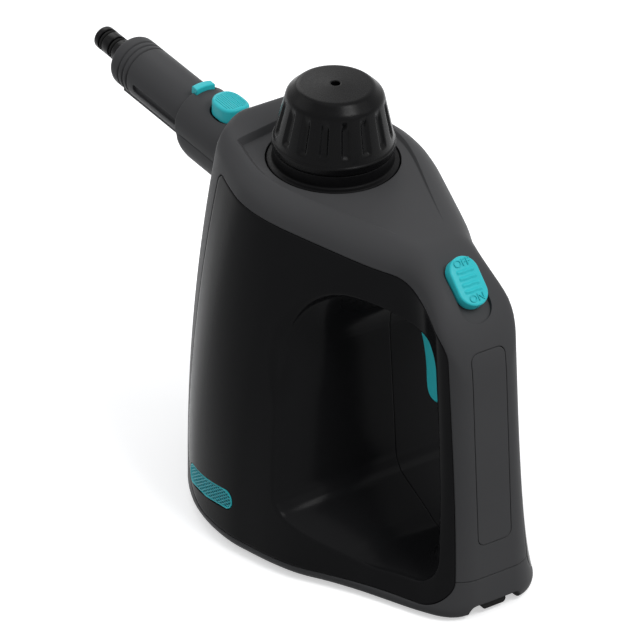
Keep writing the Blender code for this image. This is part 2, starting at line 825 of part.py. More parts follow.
def mouth_ring(outline, share, grow):
    # The hand opening's outline at one place across the body.
    depth = abs(share)
    closing = 1 - depth ** PINCH_POWER
    centre = Vector((MOUTH_CENTRE_X, MOUTH_CENTRE_Z))
    ring = []
    for point in outline:
        arm = point - centre
        pinch = FRONT_PINCH_SHARE if arm.x < 0 else REAR_PINCH_SHARE
        heading = math.atan2(arm.y, arm.x) - SCOOP_ANGLE
        off = abs((heading + math.pi) % math.tau - math.pi)
        scoop = SCOOP_REACH * depth ** SCOOP_POWER * math.cos(off / SCOOP_SPREAD * math.pi / 2) ** 2
        if off > SCOOP_SPREAD:
            scoop = 0.0
        there = Vector((arm.x * (1 - pinch * closing), arm.y * (1 - HEIGHT_PINCH_SHARE * closing)))
        ring.append(centre + there + arm.normalized() * scoop)
    if grow:
        ring = offset_outline(ring, grow)
    side = -1 if share < 0 else 1
    placed = []
    for point, rim in zip(ring, outline):
        reach = outer_half_width(rim.x, rim.y) * depth
        placed.append(Vector((point.x, side * reach, point.y)))
    return placed


def tunnel(name, grow, shares, steps):
    outline = spaced(rounded_outline(side_corners(MOUTH_CORNER_SHARES), steps), MOUTH_POINT_SPACING)
    rings = [mouth_ring(outline, share, grow) for share in shares]
    first = [Vector((point.x, -BASE_HALF_WIDTH - OVERRUN, point.z)) for point in rings[0]]
    last = [point + Vector((0, WALL, 0)) for point in rings[-1]]
    return loft(name, [first] + rings + [last])


def panel_prism(name, grow, low, high):
    outline = rounded_outline(side_corners(PANEL_CORNER_SHARES), CORNER_STEPS)
    return prism(name, offset_outline(outline, grow) if grow else outline, low, high, "y")


def arch_block(name, grow):
    low = (ARCH_START - grow, -ARCH_HALF_WIDTH - grow, -OVERRUN)
    high = (BODY_LENGTH, ARCH_HALF_WIDTH + grow, ARCH_HEIGHT + grow)
    return rounded_box(name, low, high, ARCH_RADIUS, "x")


def switch_frame():
    # Frame of the power switch: X down the slope, Z out of the surface.
    return Matrix.Translation((SWITCH_X, 0, SWITCH_Z)) @ Matrix.Rotation(SWITCH_SLOPE, 4, "Y")


def slope_block(name, start, end, half, low, high):
    # Block with fully rounded ends in the frame of the power switch.
    radius = half * ROUND_END_SHARE
    obj = rounded_box(name, (start, -half, low), (end, half, high), radius, "z")
    obj.data.transform(switch_frame())
    return obj


def foot_places():
    rows = ((FRONT_FOOT_X, FRONT_FOOT_Y), (REAR_FOOT_X, REAR_FOOT_Y))
    return [(x, y * side) for x, y in rows for side in (-1, 1)]


def screw_places():
    return [(NOSE_BOSS_X, 0), (SIDE_BOSS_X, -SIDE_BOSS_Y), (SIDE_BOSS_X, SIDE_BOSS_Y)]


def upright(name, radius, x, y, low, high, material=None, steps=SMALL_ROUND_STEPS):
    return rod(name, radius, (x, y, low), (x, y, high), material, steps)


def material(name, colour, roughness, metallic=0.0):
    made = bpy.data.materials.new(name)
    made.use_nodes = True
    shader = made.node_tree.nodes["Principled BSDF"]
    shader.inputs["Base Color"].default_value = (*colour, 1)
    shader.inputs["Roughness"].default_value = roughness
    shader.inputs["Metallic"].default_value = metallic
    made.diffuse_color = (*colour, 1)
    return made


SHELL_GREY = (0.045, 0.045, 0.048)
PIANO_BLACK = (0.006, 0.006, 0.007)
SOFT_BLACK = (0.012, 0.012, 0.013)
ACCENT_CYAN = (0.0, 0.42, 0.52)
RUBBER_BLACK = (0.015, 0.015, 0.015)
ALUMINIUM = (0.60, 0.61, 0.62)
STEEL = (0.50, 0.50, 0.51)
BRASS = (0.60, 0.42, 0.16)
HEAT_WHITE = (0.70, 0.69, 0.66)

grey = material("Shell grey", SHELL_GREY, 0.45)
piano = material("Piano black", PIANO_BLACK, 0.12)
soft = material("Soft black", SOFT_BLACK, 0.40)
cyan = material("Accent cyan", ACCENT_CYAN, 0.35)
rubber = material("Rubber black", RUBBER_BLACK, 0.75)
aluminium = material("Aluminium", ALUMINIUM, 0.35, 1.0)
steel = material("Steel", STEEL, 0.30, 1.0)
brass = material("Brass", BRASS, 0.30, 1.0)
heat_white = material("Heat white", HEAT_WHITE, 0.50)

# Housing, base and side panels, all cut from the same hull.
WIDE = BASE_HALF_WIDTH + OVERRUN
outer = hull("Outer")
inner = hull("Inner", WALL, DISH_DEPTH, coarse=True)
narrow = copy_of(outer, "Narrow")
narrow.data.transform(Matrix.Diagonal((1, CORE_WIDTH_SHARE, CORE_HEIGHT_SHARE, 1)))
window = cut(panel_prism("Window", GAP, -WIDE, WIDE), narrow, keep=True)
narrow.data.transform(Matrix.Scale(CORE_GAP_SHARE, 4, (0, 1, 0)))
shell = cut(copy_of(outer, "Shell"), inner, keep=True)
cut(shell, window, keep=True)

near_panel = common(copy_of(outer, "side_panel_left"), panel_prism("Prism", 0, -WIDE, -GAP / 2))
tunnel_wall = tunnel("Tunnel wall", WALL, TUNNEL_WALL_SHARES, INNER_CORNER_STEPS)
cut(near_panel, cut(join(copy_of(inner, "Core"), narrow), tunnel_wall))
boss = upright("Boss", BOSS_RADIUS, SIDE_BOSS_X, -SIDE_BOSS_Y, WALL + GAP, SIDE_BOSS_TOP)
join(near_panel, boss)
lug = rounded_box(
    "Lug",
    (TRIGGER_PIN_X - LUG_RADIUS, -TRIGGER_HALF_WIDTH - GAP - LUG_THICKNESS, TRIGGER_PIN_Z - LUG_DROP),
    (TRIGGER_PIN_X + LUG_RADIUS, -TRIGGER_HALF_WIDTH - GAP, TRIGGER_PIN_Z + LUG_RADIUS),
    LUG_RADIUS * ROUND_END_SHARE,
    "y",
)
join(near_panel, lug)
cut(near_panel, tunnel("Tunnel", 0, TUNNEL_SHARES, CORNER_STEPS))
slot_low = (TRIGGER_SLOT_FRONT, -TRIGGER_HALF_WIDTH - GAP, TRIGGER_SLOT_LOW)
slot_high = (TRIGGER_SLOT_REAR, TRIGGER_HALF_WIDTH + GAP, TRIGGER_SLOT_HIGH)
cut(near_panel, box("Slot", slot_low, slot_high))
pin_from = Vector((TRIGGER_PIN_X, -WIDE, TRIGGER_PIN_Z))
pin_to = Vector((TRIGGER_PIN_X, WIDE, TRIGGER_PIN_Z))
pin_reach = Vector((0, PIN_HALF_LENGTH, 0))
pin_middle = Vector((TRIGGER_PIN_X, 0, TRIGGER_PIN_Z))
bore = rod("Pin bore", PIN_RADIUS + GAP, pin_middle - pin_reach - Vector((0, GAP, 0)), pin_middle)
cut(near_panel, bore)
cut(near_panel, upright("Screw bore", SCREW_RADIUS + GAP, SIDE_BOSS_X, -SIDE_BOSS_Y, 0, SCREW_LENGTH + GAP))
near_panel.data.materials.append(piano)

far_panel = copy_of(near_panel, "side_panel_right")
far_panel.data.transform(Matrix.Scale(-1, 4, (0, 1, 0)))
far_panel.data.flip_normals()


def pill(name, grow, low, high):
    half = BADGE_WIDTH / 2 + grow
    reach = BADGE_LENGTH / 2 + grow
    obj = rounded_box(name, (-reach, low, -half), (reach, high, half), half * ROUND_END_SHARE, "y")
    turn = Matrix.Rotation(-BADGE_TILT, 4, "Y")
    obj.data.transform(Matrix.Translation((BADGE_X, 0, BADGE_Z)) @ turn)
    return obj


pocket = cut(pill("Pocket", GAP, -WIDE, -GAP), hull("Pocket floor", BADGE_DEPTH, BADGE_DEPTH))
cut(near_panel, pocket)
badge = common(pill("badge", 0, -WIDE, -GAP), outer, keep=True)
cut(badge, hull("Badge back", BADGE_DEPTH - GAP, BADGE_DEPTH))
badge.data.materials.append(cyan)

# The base: the shell below the parting line, with the arch at its back.
parting_low = (-WIDE - OVERRUN, -WIDE, -OVERRUN)
parting_high = (BODY_LENGTH, WIDE, PARTING_HEIGHT - GAP)
base = common(copy_of(outer, "base_cover"), box("Below", parting_low, parting_high))
cut(base, cut(copy_of(inner, "Hollow"), arch_block("Arch wall", WALL)))
cut(base, window)
cut(base, arch_block("Arch", 0))
ARCH_BACK = ARCH_START - WALL
hole_low = (ARCH_BACK - OVERRUN, -GLAND_HALF_WIDTH - GAP, WALL + GAP)
hole_high = (ARCH_START + WALL, GLAND_HALF_WIDTH + GAP, GLAND_HIGH + GAP)
cut(base, box("Gland hole", hole_low, hole_high))
gland = rounded_box(
    "cord_gland",
    (ARCH_START + GAP, -GLAND_HALF_WIDTH, GLAND_LOW),
    (GLAND_END, GLAND_HALF_WIDTH, GLAND_HIGH),
    GLAND_RADIUS,
    "x",
)
FLANGE_START = ARCH_BACK - GAP - GLAND_FLANGE_LENGTH
neck_low = (FLANGE_START, -GLAND_HALF_WIDTH, WALL + GAP * 2)
join(gland, box("Gland neck", neck_low, (ARCH_START + WALL, GLAND_HALF_WIDTH, GLAND_HIGH - GAP / 2)))
flange_low = (FLANGE_START, -GLAND_FLANGE_HALF_WIDTH, WALL + GAP)
join(gland, box("Flange", flange_low, (ARCH_BACK - GAP, GLAND_FLANGE_HALF_WIDTH, GLAND_FLANGE_HIGH)))
gland.data.materials.append(rubber)

for (x, y), place in zip(screw_places(), ("front", "left", "right")):
    head_top = SCREW_HEAD_DEPTH + SCREW_HEAD_HEIGHT
    head_way = SCREW_HEAD_RADIUS + GAP
    screw_way = SCREW_RADIUS + GAP
    profile = [(0, -OVERRUN), (head_way, -OVERRUN), (head_way, head_top + GAP), (screw_way, head_top + GAP)]
    way = lathe("Way", profile + [(screw_way, WALL + OVERRUN), (0, WALL + OVERRUN)], None, SMALL_ROUND_STEPS)
    way.data.transform(Matrix.Translation((x, y, 0)))
    cut(base, way)
    profile = [(0, SCREW_HEAD_DEPTH), (SCREW_HEAD_RADIUS, SCREW_HEAD_DEPTH), (SCREW_HEAD_RADIUS, head_top)]
    profile += [(SCREW_RADIUS, head_top), (SCREW_RADIUS, SCREW_LENGTH), (0, SCREW_LENGTH)]
    screw = lathe(f"base_screw_{place}", profile, steel, PIN_STEPS)
    screw.data.transform(Matrix.Translation((x, y, 0)))
    half_slot = SCREW_SLOT / 2
    for across, along in ((SCREW_HEAD_RADIUS / 2, half_slot), (half_slot, SCREW_HEAD_RADIUS / 2)):
        slot_low = (x - across, y - along, -OVERRUN)
        cut(screw, box("Slot", slot_low, (x + across, y + along, SCREW_HEAD_DEPTH + half_slot)))

FOOT_NAMES = ("foot_front_left", "foot_front_right", "foot_rear_left", "foot_rear_right")
for (x, y), name in zip(foot_places(), FOOT_NAMES):
    cut(base, upright("Foot seat", FOOT_RADIUS + GAP, x, y, -OVERRUN, FOOT_SEAT + GAP))
    rim = FOOT_RADIUS - FOOT_EDGE
    profile = [(0, -FOOT_RISE), (rim, -FOOT_RISE), (FOOT_RADIUS, FOOT_EDGE - FOOT_RISE)]
    foot = lathe(name, profile + [(FOOT_RADIUS, FOOT_SEAT), (0, FOOT_SEAT)], rubber, SMALL_ROUND_STEPS)
    foot.data.transform(Matrix.Translation((x, y, 0)))
base.data.materials.append(grey)

# Housing: the shell above the parting line with its recess, holes and boss.
housing = cut(shell, box("Below", parting_low, (BODY_LENGTH, WIDE, PARTING_HEIGHT)))
housing.name = "housing"


def dish_half_width(x):
    return DECK_HALF_WIDTH * spline_value((x + NOSE_TO_CAP) / BODY_LENGTH, 2) - DISH_MARGIN


def dish_outline():
    front = []
    for k in range(DISH_TURN_STEPS + 1):
        angle = math.pi + (math.tau - math.pi - DISH_TURN_START * 2) * (k / DISH_TURN_STEPS - HALF)
        front.append(Vector((DISH_RADIUS * math.cos(angle), DISH_RADIUS * math.sin(angle))))
    start = front[-1].x
    places = [start + (DISH_END - start) * k / DISH_SIDE_STEPS for k in range(1, DISH_SIDE_STEPS + 1)]
    one_side = [Vector((x, -dish_half_width(x))) for x in places]
    return front + one_side + [Vector((p.x, -p.y)) for p in reversed(one_side)]


rim_line = dish_outline()
dish_rings = []
for height in (0, OVERRUN / 2):
    spread = offset_outline(rim_line, height - DISH_DEPTH)
    dish_rings.append([Vector((p.x, p.y, height)) for p in spread])
dish = loft("Dish", dish_rings)
dish.data.transform(TOP_FRAME)
cut(housing, dish)
hole_profile = [(0, RING_LOW - OVERRUN), (FILLER_HOLE_RADIUS, RING_LOW - OVERRUN)]
hole_profile += [(FILLER_HOLE_RADIUS, OVERRUN), (0, OVERRUN)]
cut(housing, top_turned("Filler hole", hole_profile, None, CAP_STEPS))

RECESS_HALF = SWITCH_HALF_WIDTH + RECESS_SIDE
RECESS_START = -SWITCH_LENGTH / 2 - RECESS_SIDE
RECESS_END = SWITCH_LENGTH / 2 + SWITCH_TRAVEL + RECESS_SIDE
cut(housing, slope_block("Recess", RECESS_START, RECESS_END, RECESS_HALF, -RECESS_DEPTH, OVERRUN / 2))
stem_way = (-STEM_LENGTH / 2 - GAP, STEM_LENGTH / 2 + SWITCH_TRAVEL + GAP, STEM_HALF_WIDTH + GAP)
cut(housing, slope_block("Stem slot", *stem_way, -SWITCH_BODY_TOP, OVERRUN / 2))

cover_low = (COVER_START, -COVER_HALF_WIDTH, COVER_LOW)
cover_high = (BODY_LENGTH, COVER_HALF_WIDTH, COVER_HIGH)
cover = common(rounded_box("grip_cover", cover_low, cover_high, COVER_RADIUS, "x"), outer, keep=True)
cut(cover, hull("Cover back", COVER_THICKNESS, COVER_THICKNESS))
cover.data.materials.append(grey)
seat_low = (COVER_START, -COVER_HALF_WIDTH - GAP, COVER_LOW - GAP)
seat_high = (BODY_LENGTH, COVER_HALF_WIDTH + GAP, COVER_HIGH + GAP)
seat = rounded_box("Cover seat", seat_low, seat_high, COVER_RADIUS + GAP, "x")
cut(seat, hull("Seat floor", COVER_THICKNESS + GAP, COVER_THICKNESS + GAP))
cut(housing, seat)

COLLAR_WAY = COLLAR_RADIUS + GAP
collar_way = [(0, 0), (COLLAR_WAY, 0), (COLLAR_WAY, COLLAR_FRONT), (0, COLLAR_FRONT)]
cut(housing, nozzle_turned("Collar way", collar_way))
join(housing, upright("Boss", BOSS_RADIUS, NOSE_BOSS_X, 0, NOSE_BOSS_LOW, NOSE_BOSS_TOP))
cut(housing, upright("Screw bore", SCREW_RADIUS + GAP, NOSE_BOSS_X, 0, 0, SCREW_LENGTH + GAP))
housing.data.materials.append(grey)

# Safety cap with its flutes, hollow inside.
shell_radius = CAP_SKIRT_RADIUS - CAP_SHELL
shoulder_inside = CAP_SHOULDER_RADIUS - CAP_SHELL
cap_profile = [
    (CAP_HOLE_RADIUS, CAP_TOP + CAP_DOME),
    (CAP_TOP_RADIUS / 2, CAP_TOP + CAP_DOME * DOME_MIDDLE_SHARE),
    (CAP_TOP_RADIUS - CAP_ROUND, CAP_TOP),
    (CAP_TOP_RADIUS, CAP_TOP - CAP_ROUND / 2),
    (CAP_SHOULDER_RADIUS - CAP_ROUND, CAP_SHOULDER + CAP_ROUND),
    (CAP_SHOULDER_RADIUS, CAP_SHOULDER - CAP_ROUND / 2),
    (CAP_SKIRT_RADIUS - CAP_ROUND, CAP_BAND_TOP + CAP_ROUND),
    (CAP_SKIRT_RADIUS, CAP_BAND_TOP),
    (CAP_SKIRT_RADIUS, CAP_LOW + CAP_ROUND / 2),
    (CAP_SKIRT_RADIUS - CAP_ROUND / 2, CAP_LOW),
    (shell_radius, CAP_LOW),
    (shell_radius, CAP_BAND_TOP),
    (shoulder_inside, CAP_SHOULDER - CAP_SHELL),
    (CAP_HUB_RADIUS, CAP_TOP - CAP_SHELL),
    (CAP_HUB_RADIUS, CAP_HUB_LOW),
    (CAP_HUB_RADIUS - CAP_HUB_WALL, CAP_HUB_LOW),
    (CAP_HUB_RADIUS - CAP_HUB_WALL, CAP_TOP - CAP_SHELL),
    (CAP_HOLE_RADIUS, CAP_TOP - CAP_SHELL),
]
cap = lathe("safety_cap", cap_profile, None, CAP_STEPS, closed=True)


def flute(turn):
    # Groove cutter along the cap's sloping side, thick at its lower end.
    low = Vector((CAP_SKIRT_RADIUS, 0, CAP_BAND_TOP))
    slope = (Vector((CAP_SHOULDER_RADIUS, 0, CAP_SHOULDER)) - low).normalized()
    out = Vector((slope.z, 0, -slope.x))
    base_point = low + slope * (FLUTE_LOW - CAP_BAND_TOP) + out * FLUTE_SINK
    length = FLUTE_HIGH - FLUTE_LOW
    rings = []
    for place, size in FLUTE_SHARES:
        middle = base_point + slope * (length * place)
        ring = []
        for k in range(FLUTE_STEPS):
            angle = math.tau * k / FLUTE_STEPS
            spot = out * math.cos(angle) + Vector((0, 1, 0)) * math.sin(angle)
            ring.append(middle + spot * (FLUTE_RADIUS * size))
        rings.append(ring)
    obj = loft("Flute", rings)
    obj.data.transform(Matrix.Rotation(turn, 4, "Z"))
    return obj


flutes = merge_pieces("Flutes", [flute(math.tau * (i + HALF) / FLUTES) for i in range(FLUTES)], soft)
cut(cap, flutes)
cap.data.transform(TOP_FRAME)
cap.data.materials.clear()
cap.data.materials.append(soft)

ring_bore = NECK_RADIUS + GAP
ring_profile = [
    (ring_bore, RING_LOW),
    (RING_RADIUS, RING_LOW),
    (RING_RADIUS, -RING_LIP),
    (RING_RADIUS - RING_LIP, 0),
    (RING_WALL_RADIUS + RING_LIP, RING_LIP),
    (RING_WALL_RADIUS, RING_LIP * 2),
    (RING_WALL_RADIUS, RING_TOP),
    (ring_bore, RING_TOP),
]
neck_collar = top_turned("neck_collar", ring_profile, soft, CAP_STEPS, closed=True)

# Boiler with its neck, and the stopper that closes it.
boiler_profile = [
    (0, BOILER_LOW),
    (BOILER_FLAT_RADIUS, BOILER_LOW),
    (BOILER_RADIUS - BOILER_BOTTOM_ROUND / 4, BOILER_LOW + BOILER_BOTTOM_ROUND / 2),
    (BOILER_RADIUS, BOILER_LOW + BOILER_BOTTOM_ROUND),
    (BOILER_RADIUS, BOILER_SHOULDER_LOW),
    (BOILER_RADIUS - BOILER_WALL, BOILER_SHOULDER_LOW + BOILER_BOTTOM_ROUND),
    (NECK_RADIUS, BOILER_SHOULDER_HIGH),
    (NECK_RADIUS, NECK_TOP),
    (NECK_BORE, NECK_TOP),
    (NECK_BORE, BOILER_SHOULDER_HIGH - BOILER_WALL / 2),
    (BOILER_RADIUS - BOILER_WALL * 2, BOILER_SHOULDER_LOW + BOILER_BOTTOM_ROUND - BOILER_WALL),
    (BOILER_RADIUS - BOILER_WALL, BOILER_SHOULDER_LOW - BOILER_WALL),
    (BOILER_RADIUS - BOILER_WALL, BOILER_LOW + BOILER_BOTTOM_ROUND + BOILER_WALL),
    (BOILER_FLAT_RADIUS, BOILER_LOW + BOILER_WALL),
    (0, BOILER_LOW + BOILER_WALL),
]
boiler = top_turned("boiler", boiler_profile, aluminium, INSIDE_STEPS)
pipe_height = -NOZZLE_DROP
steam_port = rod("Port", PIPE_RADIUS + GAP, (-NECK_RADIUS - WALL, 0, pipe_height), (0, 0, pipe_height))
steam_port.data.transform(TOP_FRAME)
cut(boiler, steam_port)

flange_low = NECK_TOP + SEAL_THICKNESS + SEAL_GAP * 2
flange_high = flange_low + PLUG_FLANGE_THICKNESS
seal_low = NECK_TOP + SEAL_GAP
seal_high = seal_low + SEAL_THICKNESS
seal_profile = [(PLUG_RADIUS + SEAL_GAP, seal_low), (NECK_RADIUS, seal_low)]
seal_profile += [(NECK_RADIUS, seal_high), (PLUG_RADIUS + SEAL_GAP, seal_high)]
seal = top_turned("cap_seal", seal_profile, rubber, INSIDE_STEPS, closed=True)

plug_profile = [(PLUG_BORE, PLUG_LOW), (PLUG_CORE_RADIUS, PLUG_LOW)]
ridge_pitch = (NECK_TOP - PLUG_LOW) / (PLUG_RIDGES + 1)
for i in range(PLUG_RIDGES):
    foot_height = PLUG_LOW + ridge_pitch * (i + HALF)
    plug_profile.append((PLUG_CORE_RADIUS, foot_height))
    plug_profile.append((PLUG_RADIUS, foot_height + ridge_pitch / 4))
    plug_profile.append((PLUG_RADIUS, foot_height + ridge_pitch / 3))
    plug_profile.append((PLUG_CORE_RADIUS, foot_height + ridge_pitch * HALF))
plug_profile += [
    (PLUG_CORE_RADIUS, flange_low),
    (NECK_RADIUS, flange_low),
    (NECK_RADIUS, flange_high),
    (PLUG_HUB_RADIUS, flange_high),
    (PLUG_HUB_RADIUS, PLUG_HUB_TOP),
    (PLUG_BORE, PLUG_HUB_TOP),
]
plug = top_turned("cap_plug", plug_profile, brass, INSIDE_STEPS, closed=True)

hex_low = PLUG_HUB_TOP + GAP
valve_profile = [
    (VALVE_BORE, VALVE_LOW),
    (VALVE_RADIUS, VALVE_LOW),
    (VALVE_RADIUS, hex_low),
    (VALVE_HEX_RADIUS, hex_low),
    (VALVE_HEX_RADIUS, hex_low + VALVE_HEX_HEIGHT),
    (VALVE_BORE, hex_low + VALVE_HEX_HEIGHT),
]
valve = top_turned("relief_valve", valve_profile, brass, SMALL_ROUND_STEPS, closed=True)

spring_low = flange_high + SPRING_WIRE + SPRING_END_GAP
spring_high = CAP_HUB_LOW - SPRING_WIRE - SPRING_END_GAP
spring_rings = []
for k in range(SPRING_TURNS * SPRING_STEPS + 1):
    angle = math.tau * k / SPRING_STEPS
    share = k / (SPRING_TURNS * SPRING_STEPS)
    out = Vector((math.cos(angle), math.sin(angle), 0))
    middle = out * SPRING_RADIUS + Vector((0, 0, spring_low + (spring_high - spring_low) * share))
    ring = []
    for j in range(SPRING_WIRE_STEPS):
        lean = math.tau * j / SPRING_WIRE_STEPS
        ring.append(middle + (out * math.cos(lean) + Vector((0, 0, math.sin(lean)))) * SPRING_WIRE)
    spring_rings.append(ring)
spring = loft("cap_spring", spring_rings, steel)
spring.data.transform(TOP_FRAME)

# Heater, thermostat, fuse and bracket on the boiler.
element_height = BOILER_LOW - GAP - ELEMENT_TUBE_RADIUS
element_rings = []
for k in range(ELEMENT_STEPS + 1):
    angle = ELEMENT_GAP_ANGLE / 2 + (math.tau - ELEMENT_GAP_ANGLE) * k / ELEMENT_STEPS
    out = Vector((math.cos(angle), math.sin(angle), 0))
    middle = out * ELEMENT_RADIUS + Vector((0, 0, element_height))
    ring = []
    for j in range(ELEMENT_TUBE_STEPS):
        lean = math.tau * j / ELEMENT_TUBE_STEPS
        ring.append(middle + (out * math.cos(lean) + Vector((0, 0, math.sin(lean)))) * ELEMENT_TUBE_RADIUS)
    element_rings.append(ring)
element = loft("heating_element", element_rings, steel)
element.data.transform(TOP_FRAME)

stat_top = BOILER_LOW - GAP
stat_step = stat_top - THERMOSTAT_HEIGHT + THERMOSTAT_CAN_HEIGHT
stat_profile = [
    (0, stat_top),
    (THERMOSTAT_RADIUS, stat_top),
    (THERMOSTAT_RADIUS, stat_step),
    (THERMOSTAT_CAN_RADIUS, stat_step),
    (THERMOSTAT_CAN_RADIUS, stat_top - THERMOSTAT_HEIGHT),
    (0, stat_top - THERMOSTAT_HEIGHT),
]
thermostat = top_turned("boiler_thermostat", stat_profile, heat_white, SMALL_ROUND_STEPS)

fuse_start = BOILER_RADIUS + GAP
fuse = rounded_box(
    "thermal_fuse",
    (fuse_start, -FUSE_HALF_WIDTH, FUSE_LOW),
    (fuse_start + FUSE_THICKNESS, FUSE_HALF_WIDTH, FUSE_HIGH),
    FUSE_RADIUS,
    "z",
    heat_white,
)
fuse.data.transform(TOP_FRAME)

strap_inside = BOILER_RADIUS + STRAP_GAP
strap_outside = strap_inside + STRAP_THICKNESS
strap_profile = [(strap_inside, STRAP_LOW), (strap_outside, STRAP_LOW)]
strap_profile += [(strap_outside, STRAP_HIGH), (strap_inside, STRAP_HIGH)]
bracket = lathe("boiler_bracket", strap_profile, None, INSIDE_STEPS, closed=True)
for i in range(LEG_COUNT):
    turn = Matrix.Rotation(math.tau * (i + HALF) / LEG_COUNT, 4, "Z")
    leg_start = strap_inside + STRAP_GAP
    leg_low = (leg_start, -LEG_WIDTH / 2, LEG_LOW)
    leg = box("Leg", leg_low, (leg_start + STRAP_THICKNESS, LEG_WIDTH / 2, STRAP_HIGH - STRAP_GAP))
    foot_low = (leg_start + STRAP_GAP, -LEG_WIDTH / 2 + STRAP_GAP, LEG_LOW - STRAP_GAP)
    tab = box("Tab", foot_low, (leg_start + LEG_FOOT, LEG_WIDTH / 2 - STRAP_GAP, LEG_LOW + STRAP_THICKNESS))
    join(leg, tab)
    leg.data.transform(turn)
    join(bracket, leg)
bracket.data.transform(TOP_FRAME)
bracket.data.materials.append(steel)


def nozzle_pipe(name, radius, bore, start, end):
    # Brass pipe on the nozzle's axis.
    profile = [(bore, start), (radius, start), (radius, end), (bore, end)]
    return nozzle_turned(name, profile, brass, SMALL_ROUND_STEPS, closed=True)


# Way of the steam: from the boiler's neck through the valve to the nozzle.
outlet = nozzle_pipe("outlet_pipe", PIPE_RADIUS, PIPE_BORE, NECK_BORE + GAP, VALVE_BLOCK_REAR - GAP)
feed = nozzle_pipe("nozzle_pipe", FEED_PIPE_RADIUS, PIPE_BORE, VALVE_BLOCK_FRONT + GAP, FEED_PIPE_END)
block_low = (-VALVE_BLOCK_RISE, -VALVE_BLOCK_HALF_WIDTH, VALVE_BLOCK_REAR)
block_high = (VALVE_BLOCK_RISE, VALVE_BLOCK_HALF_WIDTH, VALVE_BLOCK_FRONT)
steam_valve = nozzle_box("steam_valve", block_low, block_high, VALVE_BLOCK_ROUND)
block_middle = (VALVE_BLOCK_REAR + VALVE_BLOCK_FRONT) / 2
coil_end = (-VALVE_BLOCK_RISE - COIL_HEIGHT, 0, block_middle)
coil = rod("Coil", COIL_RADIUS * HALF, coil_end, (0, 0, block_middle))
coil.data.transform(NOZZLE_FRAME)
join(steam_valve, coil)
valve_way = [(0, 0), (PIPE_BORE, 0), (PIPE_BORE, COLLAR_FRONT), (0, COLLAR_FRONT)]
cut(steam_valve, nozzle_turned("Way", valve_way, None, SMALL_ROUND_STEPS))
steam_valve.data.materials.append(heat_white)

# Collar of the nozzle with its flange inside the housing, and the lower shell.
collar_profile = [
    (COLLAR_BORE, COLLAR_REAR),
    (COLLAR_FLANGE_RADIUS, COLLAR_REAR),
    (COLLAR_FLANGE_RADIUS, COLLAR_FLANGE_FRONT),
    (COLLAR_RADIUS, COLLAR_FLANGE_FRONT),
    (COLLAR_RADIUS, COLLAR_FRONT - COLLAR_EDGE),
    (COLLAR_RADIUS - COLLAR_EDGE, COLLAR_FRONT),
    (COLLAR_BORE, COLLAR_FRONT),
]
collar = nozzle_turned("nozzle_collar", collar_profile, None, ROUND_STEPS, closed=True)


def oval(grow):
    # Outline of the push pad, longer along the nozzle.
    half_length = PAD_HALF_LENGTH + grow
    half_wide = PAD_HALF_WIDTH + grow
    points = []
    for k in range(PAD_STEPS):
        angle = math.tau * k / PAD_STEPS
        c = math.cos(angle)
        s = math.sin(angle)
        bulge = (abs(c) ** OVAL_POWER + abs(s) ** OVAL_POWER) ** (-1 / OVAL_POWER)
        points.append(Vector((half_wide * s * bulge, PAD_PLACE + half_length * c * bulge)))
    return points


pad_pocket = prism("Pad pocket", oval(POCKET_SIDE), POCKET_FLOOR, COLLAR_RADIUS + OVERRUN, "x")
pad_pocket.data.transform(NOZZLE_FRAME)
cut(collar, pad_pocket)
channel_half = LINK_HALF_WIDTH + CHANNEL_SIDE
channel_low = (POCKET_FLOOR + SEAL_GAP, -channel_half, PAD_PLACE)
channel = nozzle_box("Channel", channel_low, (CHANNEL_HIGH, channel_half, BAR_REAR), CHANNEL_SIDE)
cut(collar, channel)
bar_half = BAR_HALF_WIDTH + CHANNEL_SIDE
bar_way_low = (POCKET_FLOOR - SEAL_GAP, -bar_half, BAR_REAR - CHANNEL_SIDE)
bar_way_high = (COLLAR_RADIUS + OVERRUN, bar_half, COLLAR_FRONT + OVERRUN)
cut(collar, nozzle_box("Bar way", bar_way_low, bar_way_high, CHANNEL_SIDE))
pivot_start = Vector((LEVER_PIVOT_Z, -LEVER_PIN_HALF_LENGTH - GAP, LEVER_PIVOT_PLACE))
pivot_end = Vector((LEVER_PIVOT_Z, LEVER_PIN_HALF_LENGTH + GAP, LEVER_PIVOT_PLACE))
pivot_bore = rod("Pivot bore", LEVER_PIN_RADIUS + GAP, pivot_start, pivot_end)
pivot_bore.data.transform(NOZZLE_FRAME)
cut(collar, pivot_bore)
collar.data.materials.append(grey)

lower = nozzle_box(
    "collar_shell",
    (SHELL_LOW, -SHELL_HALF_WIDTH, SHELL_REAR),
    (SHELL_HIGH, SHELL_HALF_WIDTH, SHELL_FRONT),
    SHELL_ROUND,
)
inside_profile = [(0, 0), (COLLAR_RADIUS + GAP, 0), (COLLAR_RADIUS + GAP, TUBE_FRONT), (0, TUBE_FRONT)]
cut(lower, nozzle_turned("Inside", inside_profile))
cut(lower, hull("Body", -GAP, -GAP))
lower.data.materials.append(soft)

